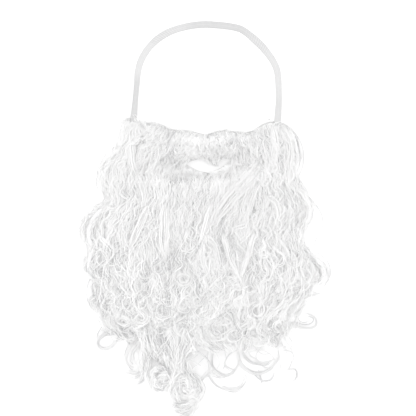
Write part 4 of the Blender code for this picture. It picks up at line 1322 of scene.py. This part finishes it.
def lipLocks():
    rng = random.Random(77)
    found = []
    for level in range(lip["rows"]):
        for i in range(lip["count"]):
            share = (i + rng.uniform(0.1, 0.9)) / lip["count"]
            px = lip["fromX"] + (lip["toX"] - lip["fromX"]) * share
            side = (px - lip["centre"]) / lip["half"]
            topY = hemLine(px) + lip["top"] + level * lip["rowGap"] + rng.uniform(-1, 2)
            lean = side * abs(side) * lip["lean"] + rng.uniform(-6, 6)
            length = lip["length"] + 8 * abs(side) + rng.uniform(-6, 8)
            bottomX = px + lean
            bottomY = min(topY + length, mouthTop(bottomX) - rng.uniform(0.4, 1.6))
            if bottomY < topY + lip["least"]:
                continue
            flat = []
            swing = rng.choice((-1, 1)) * rng.uniform(0.5, 2.2)
            for k in range(7):
                t = k / 6
                flat.append(fromPicture(px + (bottomX - px) * t + swing * math.sin(math.pi * 2.4 * t),
                                        topY + (bottomY - topY) * t))
            if rng.random() < 0.5:
                hand = 1 if rng.random() < 0.5 else -1
                end = flat[-1]
                go = (flat[-1] - flat[-2]).normalized()
                size = lip["curl"] * rng.uniform(0.5, 1.2)
                centre = end + Vector((-go.y, go.x, 0)) * size * hand
                start = math.atan2(end.y - centre.y, end.x - centre.x)
                if toPicture(centre.x, centre.y - size)[1] < mouthTop(toPicture(centre.x, 0)[0]) - 1:
                    for k in range(1, 6):
                        angle = start + hand * math.pi * 1.3 * k / 5
                        flat.append(centre + rayAt(angle) * size * (1 - 0.1 * k))
            lock = Lock(smoothLine(flat, 0.0030), lip["width"] * rng.uniform(0.7, 1.2), lip["thickness"], 0.0,
                        rng.random(), root=0.8, tip=0.5)
            layer = lip["layer"] * level
            setHeights(lock, lambda k, p: lipHeight(p.x, p.y) + layer + rng.uniform(0, 0.0003))
            found.append(lock)
    return found


# the last short hair over the opening leans towards the tuft
fringe = {"count": 34, "fromX": 181, "run": 54, "tuftX": 217, "lean": 0.30, "rise": (9, 15), "step": 0.0034,
          "width": 0.0060, "thickness": 0.003, "lift": 0.0020}


def lipFringe():
    rng = random.Random(19)
    found = []
    for i in range(fringe["count"]):
        px = fringe["fromX"] + fringe["run"] * (i + rng.uniform(0.2, 0.8)) / fringe["count"]
        endY = mouthTop(px) + rng.uniform(-0.6, 0.8) if 185 < px < 236 else 160 + rng.uniform(0, 4)
        lean = (fringe["tuftX"] - px) * fringe["lean"] + rng.uniform(-2, 2)
        if px > 218:
            endY -= 2.4
            lean = -abs(lean) * 0.3
        rise = rng.uniform(*fringe["rise"])
        flat = []
        for k in range(5):
            t = k / 4
            flat.append(fromPicture(px - lean * (1 - t) + rng.uniform(-0.8, 0.8), endY - rise * (1 - t)))
        lock = Lock(smoothLine(flat, fringe["step"]), fringe["width"], fringe["thickness"], 0.0, rng.random(),
                    root=0.8, tip=0.6)
        setHeights(lock, lambda k, p: lipHeight(p.x, p.y) + fringe["lift"])
        found.append(lock)
    return found


# hair that strays over the sewn edge
fuzz = {"count": 74, "fromX": 124, "run": 164, "aside": (-9, 9), "fall": (4, 12), "step": 0.0036,
        "width": 0.0040, "thickness": 0.002, "least": 0.0036, "lift": 0.0016}


def hemFuzz():
    rng = random.Random(29)
    found = []
    for i in range(fuzz["count"]):
        px = fuzz["fromX"] + fuzz["run"] * (i + rng.uniform(0, 1)) / fuzz["count"]
        aside = rng.uniform(*fuzz["aside"])
        fall = rng.uniform(*fuzz["fall"])
        start = hemLine(px) + rng.uniform(-1.2, 1.5)
        flat = []
        for k in range(5):
            t = k / 4
            x = px + aside * t
            y = max(start + fall * t * t, hemLine(x) - 0.6)
            flat.append(fromPicture(x, y))
        path = smoothLine(flat, fuzz["step"])
        lock = Lock(path, fuzz["width"], fuzz["thickness"], 0.0, rng.uniform(0.3, 1.0), root=0.8, tip=0.6)
        setHeights(lock, lambda k, p: max(p.z, fuzz["least"]) + fuzz["lift"])
        found.append(lock)
    return found


# the pointed tuft over the opening; its low tone gives it mostly dark strands, painted shade
tuftLook = {"step": 0.0030, "width": 0.0050, "thickness": 0.004, "tone": 0.1, "lift": 0.004, "sink": 0.003}
tuftLines = [
    [(203, 152), (208, 157), (213, 163), (217, 167)],
    [(208, 150), (212, 156), (215, 162), (217.5, 167.5)],
    [(214, 149), (215, 156), (216, 162), (217.5, 167)],
    [(220, 150), (219, 156), (217.5, 162), (217, 167)],
]


def tuftLocks():
    found = []
    for line in tuftLines:
        path = pictureLine(line, tuftLook["step"])
        lock = Lock(path, tuftLook["width"], tuftLook["thickness"], 0.0, tuftLook["tone"],
                    root=0.9, tip=0.10, narrowFrom=0.2)
        last = len(lock.points) - 1
        setHeights(lock, lambda k, p: lipHeight(p.x, p.y) + tuftLook["lift"] - tuftLook["sink"] * k / last)
        found.append(lock)
    return found


shortLocks = lipLocks()
tuft = tuftLocks()
lipPieces = [
    growStrands("moustacheHair", shortLocks, strandLooks["lip"], lowFibre),
    growStrands("moustacheFringe", lipFringe(), strandLooks["fringe"], lowFibre),
    growStrands("moustacheRoots", hemFuzz(), strandLooks["roots"]),
    growStrands("moustacheTuft", tuft,
                dict(strandLooks["lip"], Strands=20, Crimp=0.0003, Wander=0.0016, Twist=0.4)),
]
print("moustache grown")


# Elastic: x, y, tilt in degrees
tapeRoute = [
    (-0.094, 0.072, 0), (-0.0925, 0.087, 0), (-0.0905, 0.108, 30), (-0.0885, 0.130, 25), (-0.087, 0.147, 15),
    (-0.083, 0.162, 10), (-0.074, 0.177, 15), (-0.061, 0.190, 10), (-0.045, 0.1995, 0), (-0.026, 0.2055, 0),
    (-0.006, 0.2085, 0), (0.014, 0.208, 0), (0.035, 0.2055, 0), (0.0495, 0.201, 0), (0.068, 0.186, 5),
    (0.080, 0.173, 0), (0.089, 0.160, 10), (0.0940, 0.147, 15), (0.0955, 0.130, 20), (0.0958, 0.108, 25),
    (0.0945, 0.086, 0), (0.093, 0.066, 0),
]
# share of the tape's run, how light it is painted (painted light and shade where it turns to or from the
# light or lies in shade), how open its weave stands, width against the plain width
tapeLightAndWeave = [
    (0.00, 0.20, 0.0, 1.00), (0.05, 0.20, 0.0, 0.94), (0.15, 0.25, 0.0, 0.90), (0.18, 0.90, 0.0, 0.94),
    (0.28, 0.95, 0.2, 1.00), (0.31, 0.60, 1.0, 1.06), (0.36, 0.60, 1.0, 1.06), (0.40, 0.65, 0.3, 1.00),
    (0.45, 0.25, 0.0, 1.00), (0.60, 0.20, 0.0, 1.00), (0.64, 0.40, 0.5, 1.02), (0.67, 0.55, 1.0, 1.14),
    (0.71, 0.60, 1.0, 1.08), (0.74, 0.90, 0.2, 1.00), (0.86, 0.90, 0.0, 0.96), (0.90, 0.65, 0.0, 0.96),
    (1.00, 0.50, 0.0, 1.00),
]


def tapeHeight(y, leftEnd):
    hemY = tape["leftHemY"] if leftEnd else tape["rightHemY"]
    overHem, onCloth = tape["overHem"], tape["onCloth"]
    if y > hemY:
        return overHem * (1 - ease((y - hemY) / tape["rise"]))
    return overHem + (onCloth - overHem) * min(1.0, (hemY - y) / tape["lap"])


def makeTape():
    tiltUnit = 1e-6  # the tilt rides along as a tiny height
    line = smoothLine([Vector((x, y, tilt * tiltUnit)) for x, y, tilt in tapeRoute], tape["step"])
    section = []
    count = tape["ribs"] * 4
    for k in range(count + 1):
        u = k / count * 2 - 1
        edgeFade = (1 - abs(u) ** 8) ** 0.5
        rib = 0.82 + 0.18 * abs(math.cos(math.pi * tape["ribs"] * (u + 1) / 2))
        section.append((u, 0.5 * edgeFade * rib + 0.02))
    section += [(u, -v) for u, v in reversed(section)]
    points = []
    values = {"across": [], "run": [], "fresh": [], "chevrons": []}
    last = len(line) - 1
    for i, p in enumerate(line):
        side = sideAt(line, i)
        tilt = math.radians(max(0.0, p.z / tiltUnit))
        lift = tape["width"] / 2 * math.sin(tilt) + tape["thickness"] / 2
        centre = Vector((p.x, p.y, tapeHeight(p.y, p.x < 0) + lift))
        across = side * math.cos(tilt) + Vector((0, 0, math.sin(tilt)))
        over = Vector((0, 0, math.cos(tilt))) - side * math.sin(tilt)
        fresh, chevrons, wide = (readTable(tapeLightAndWeave, i / last, k) for k in (1, 2, 3))
        for u, v in section:
            points.append(centre + across * u * wide * tape["width"] / 2 + over * v * tape["thickness"])
            values["across"].append(u * tape["width"] / 2)
            values["run"].append(i * tape["step"])
            values["fresh"].append(fresh)
            values["chevrons"].append(chevrons)
    faces = tubeFaces(0, len(line), len(section), inverted=True)
    return placeMesh("elasticTape", points, faces, braidedElastic, values)


elasticTape = makeTape()
print("elastic laid")


# Hem and cloth
hem = {"radius": 0.0017, "gap": 0.0004, "step": 0.0030, "sides": 10, "every": 0.0036, "length": 0.0030,
       "thread": 0.00032, "slant": 0.5}
cloth = {"thickness": 0.0016, "base": 0.0001, "cell": 0.006, "step": 0.004}
weft = {"every": 0.0034, "length": 0.0026, "thread": 0.0003, "slant": 0.3, "parts": 40, "sag": 0.010,
        "rows": ((0.045, 0.098), (0.008, 0.100), (-0.018, 0.094), (-0.042, 0.080), (-0.064, 0.056))}
tack = {"every": 0.0020, "length": 0.0017, "thread": 0.00028, "slant": 0.0, "lift": 0.0006,
        "places": ((-0.0935, 0.078), (0.0945, 0.072)),
        "corners": ((-0.003, -0.005), (0.003, -0.005), (0.003, 0.004), (-0.003, 0.004), (-0.003, -0.005),
                    (0.003, 0.004))}
# the cloth's upper edge and its lower one, hidden under the hair
topEdge = [
    (-0.108, 0.080), (-0.098, 0.086), (-0.084, 0.080), (-0.060, 0.078), (-0.045, 0.071), (-0.020, 0.069),
    (0.000, 0.064), (0.014, 0.068), (0.028, 0.070), (0.045, 0.067), (0.062, 0.069), (0.074, 0.077),
    (0.086, 0.081), (0.100, 0.079), (0.112, 0.070),
]
lowerEdge = [
    (0.114, 0.040), (0.106, -0.015), (0.082, -0.055), (0.045, -0.078), (0.000, -0.086), (-0.045, -0.078),
    (-0.082, -0.055), (-0.106, -0.015), (-0.115, 0.040),
]


def edgeLine(step, outward):
    line = smoothLine([Vector((x, y, 0)) for x, y in topEdge], step)
    return [p + sideAt(line, i) * outward for i, p in enumerate(line)]


def makeHem():
    rng = random.Random(3)
    line = edgeLine(hem["step"], hem["radius"] + hem["gap"])
    points = []
    sides = hem["sides"]
    for i, p in enumerate(line):
        side = sideAt(line, i)
        swell = 1 + 0.10 * math.sin(i * 1.9) + rng.uniform(-0.05, 0.05)
        radius = hem["radius"] * min(1.0, swell * 0.95)
        for k in range(sides):
            angle = 2 * math.pi * k / sides
            points.append(Vector((p.x, p.y, hem["radius"])) + side * math.cos(angle) * radius
                          + Vector((0, 0, math.sin(angle) * radius)))
    return placeMesh("rolledHem", points, tubeFaces(0, len(line), sides), hemLitCloth)


def clothOutline():
    upper = edgeLine(cloth["step"], 0.0)
    corners = [upper[-1]] + [Vector((x, y, 0)) for x, y in lowerEdge] + [upper[0]]
    lower = smoothLine(corners, cloth["step"])
    return list(reversed(upper + lower[1:-1]))




def makeCloth():
    mesh = bmesh.new()
    lower, upper = mouthEdges()
    loops = [clothOutline(), lower + list(reversed(upper[1:-1]))]
    for loop in loops:
        corners = [mesh.verts.new((p.x, p.y, cloth["base"])) for p in loop]
        for a, b in zip(corners, corners[1:] + corners[:1]):
            mesh.edges.new((a, b))
    bmesh.ops.triangle_fill(mesh, use_beauty=True, use_dissolve=False, edges=mesh.edges[:], normal=(0, 0, 1))
    for _ in range(3):
        long = [e for e in mesh.edges if e.calc_length() > cloth["cell"] * 2]
        if not long:
            break
        bmesh.ops.subdivide_edges(mesh, edges=long, cuts=1)
        bmesh.ops.triangulate(mesh, faces=mesh.faces[:])
    bmesh.ops.recalc_face_normals(mesh, faces=mesh.faces[:])
    if mesh.faces[0].normal.z < 0:
        bmesh.ops.reverse_faces(mesh, faces=mesh.faces[:])
    area = sum(f.calc_area() for f in mesh.faces)
    made = bpy.data.meshes.new("backingCloth")
    mesh.to_mesh(made)
    mesh.free()
    made.materials.append(knittedCloth)
    piece = putDown("backingCloth", made)
    wall = piece.modifiers.new("wall", "SOLIDIFY")
    wall.thickness = cloth["thickness"]
    wall.offset = 1.0
    graph = bpy.context.evaluated_depsgraph_get()
    solid = bpy.data.meshes.new_from_object(piece.evaluated_get(graph))
    piece.modifiers.clear()
    piece.data = solid
    return piece, area


rolledHem = makeHem()
backingCloth, clothArea = makeCloth()


def buildStitchTree():
    tree, given = newTree("stitchesAlongSeam", [
        ("Every", "NodeSocketFloat"), ("Length", "NodeSocketFloat"), ("Thread", "NodeSocketFloat"),
        ("Slant", "NodeSocketFloat"), ("Material", "NodeSocketMaterial")])
    line = node(tree, "GeometryNodeMeshToCurve", None, {0: given["Geometry"]})
    spots = tree.nodes.new("GeometryNodeCurveToPoints")
    spots.mode = "LENGTH"
    tree.links.new(line.socket, spots.inputs["Curve"])
    tree.links.new(given["Every"].socket, spots.inputs["Length"])
    stitch = node(tree, "GeometryNodeMeshUVSphere", None, {"Segments": 6, "Rings": 4, "Radius": 1.0})
    size = node(tree, "ShaderNodeCombineXYZ", None,
                {0: given["Thread"], 1: given["Thread"], 2: given["Length"] * 0.5})
    stitch = node(tree, "GeometryNodeTransform", None, {"Geometry": stitch, "Scale": size})
    lean = node(tree, "ShaderNodeCombineXYZ", None, {0: given["Slant"]})
    stitch = node(tree, "GeometryNodeTransform", None, {"Geometry": stitch, "Rotation": lean})
    laid = node(tree, "GeometryNodeInstanceOnPoints", None,
                {"Points": Wire(tree, spots.outputs["Points"]), "Instance": stitch,
                 "Rotation": Wire(tree, spots.outputs["Rotation"])})
    return endTree(tree, laid, given["Material"])


stitchTree = buildStitchTree()


def seamGuide(name, lines):
    mesh = bpy.data.meshes.new(name)
    points = []
    edges = chainEdges(points, lines)
    mesh.from_pydata(points, edges, [])
    return putDown(name, mesh)


def sewSeam(name, lines, seam):
    return runTree(stitchTree, seamGuide(name + "Guide", lines), name,
                   {"Every": seam["every"], "Length": seam["length"], "Thread": seam["thread"],
                    "Slant": seam["slant"], "Material": sewingThread})


hemTop = [Vector((p.x, p.y, 2 * hem["radius"])) for p in edgeLine(hem["step"], hem["radius"] + hem["gap"])]
hemStitches = sewSeam("hemStitches", [hemTop], hem)
clothBack = cloth["base"] + 0.0001
parts = weft["parts"]
weftRows = []
for y, half in weft["rows"]:
    shares = [2 * k / parts - 1 for k in range(parts + 1)]
    weftRows.append([Vector((half * s, y - weft["sag"] * (1 - s * s), clothBack)) for s in shares])
weftStitches = sewSeam("weftStitches", weftRows, weft)
tackHigh = tape["onCloth"] + tape["thickness"] + tack["lift"]
tackLines = [[Vector((x + dx, y + dy, tackHigh)) for dx, dy in tack["corners"]] for x, y in tack["places"]]
tackStitches = sewSeam("tackStitches", tackLines, tack)
print("cloth sewn")


# What replaces what
for piece in hairPieces:
    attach(piece, "root")
    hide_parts("beard_hair")
for piece in lipPieces:
    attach(piece, "root")
    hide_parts("moustache_hair")
for piece, slotName, nodeName in (
        (elasticTape, "elastic", "elastic_band"), (tackStitches, "elastic", "elastic_band"),
        (rolledHem, "cloth", "top_hem"), (hemStitches, "cloth", "top_hem"),
        (backingCloth, "cloth", "backing_cloth"), (weftStitches, "cloth", "backing_cloth")):
    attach(piece, "root")
    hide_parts(nodeName)


# Floor, light and camera
studio = {"world": 1.5, "sun": 0.4, "sunAngle": 60, "sunTurn": (-32, 18, 0), "distance": 2.2, "gamma": 1.8,
          "floorZ": -0.0006, "floorHalf": 4, "sensor": 36, "near": 0.05, "far": 50}


def makeFloor():
    half, z = studio["floorHalf"], studio["floorZ"]
    corners = [(-half, -half, z), (half, -half, z), (half, half, z), (-half, half, z)]
    floor = placeMesh("floor", corners, [(0, 1, 2, 3)], studioFloor, smooth=False)


def makeLight():
    world = bpy.data.worlds.new("studio")
    bpy.context.scene.world = world
    world.use_nodes = True
    background = world.node_tree.nodes["Background"]
    background.inputs["Color"].default_value = (1, 1, 1, 1)
    background.inputs["Strength"].default_value = studio["world"]
    lamp = bpy.data.lights.new("softSun", "SUN")
    lamp.energy = studio["sun"]
    lamp.angle = math.radians(studio["sunAngle"])
    sun = putDown("softSun", lamp)
    sun.rotation_euler = [math.radians(angle) for angle in studio["sunTurn"]]


def makeCamera():
    lens = bpy.data.cameras.new("camera")
    camera = putDown("camera", lens)
    middle = fromPicture(picture["centre"], picture["centre"])
    camera.location = (middle.x, middle.y, studio["distance"])
    lens.sensor_width = studio["sensor"]
    lens.lens = studio["sensor"] * studio["distance"] / (picture["size"] * picture["step"])
    lens.clip_start = studio["near"]
    lens.clip_end = studio["far"]
    bpy.context.scene.camera = camera


makeFloor()
makeLight()
makeCamera()
bpy.context.scene.view_settings.view_transform = "Standard"
bpy.context.scene.view_settings.look = "None"
bpy.context.scene.view_settings.gamma = studio["gamma"]

print("scene ready")
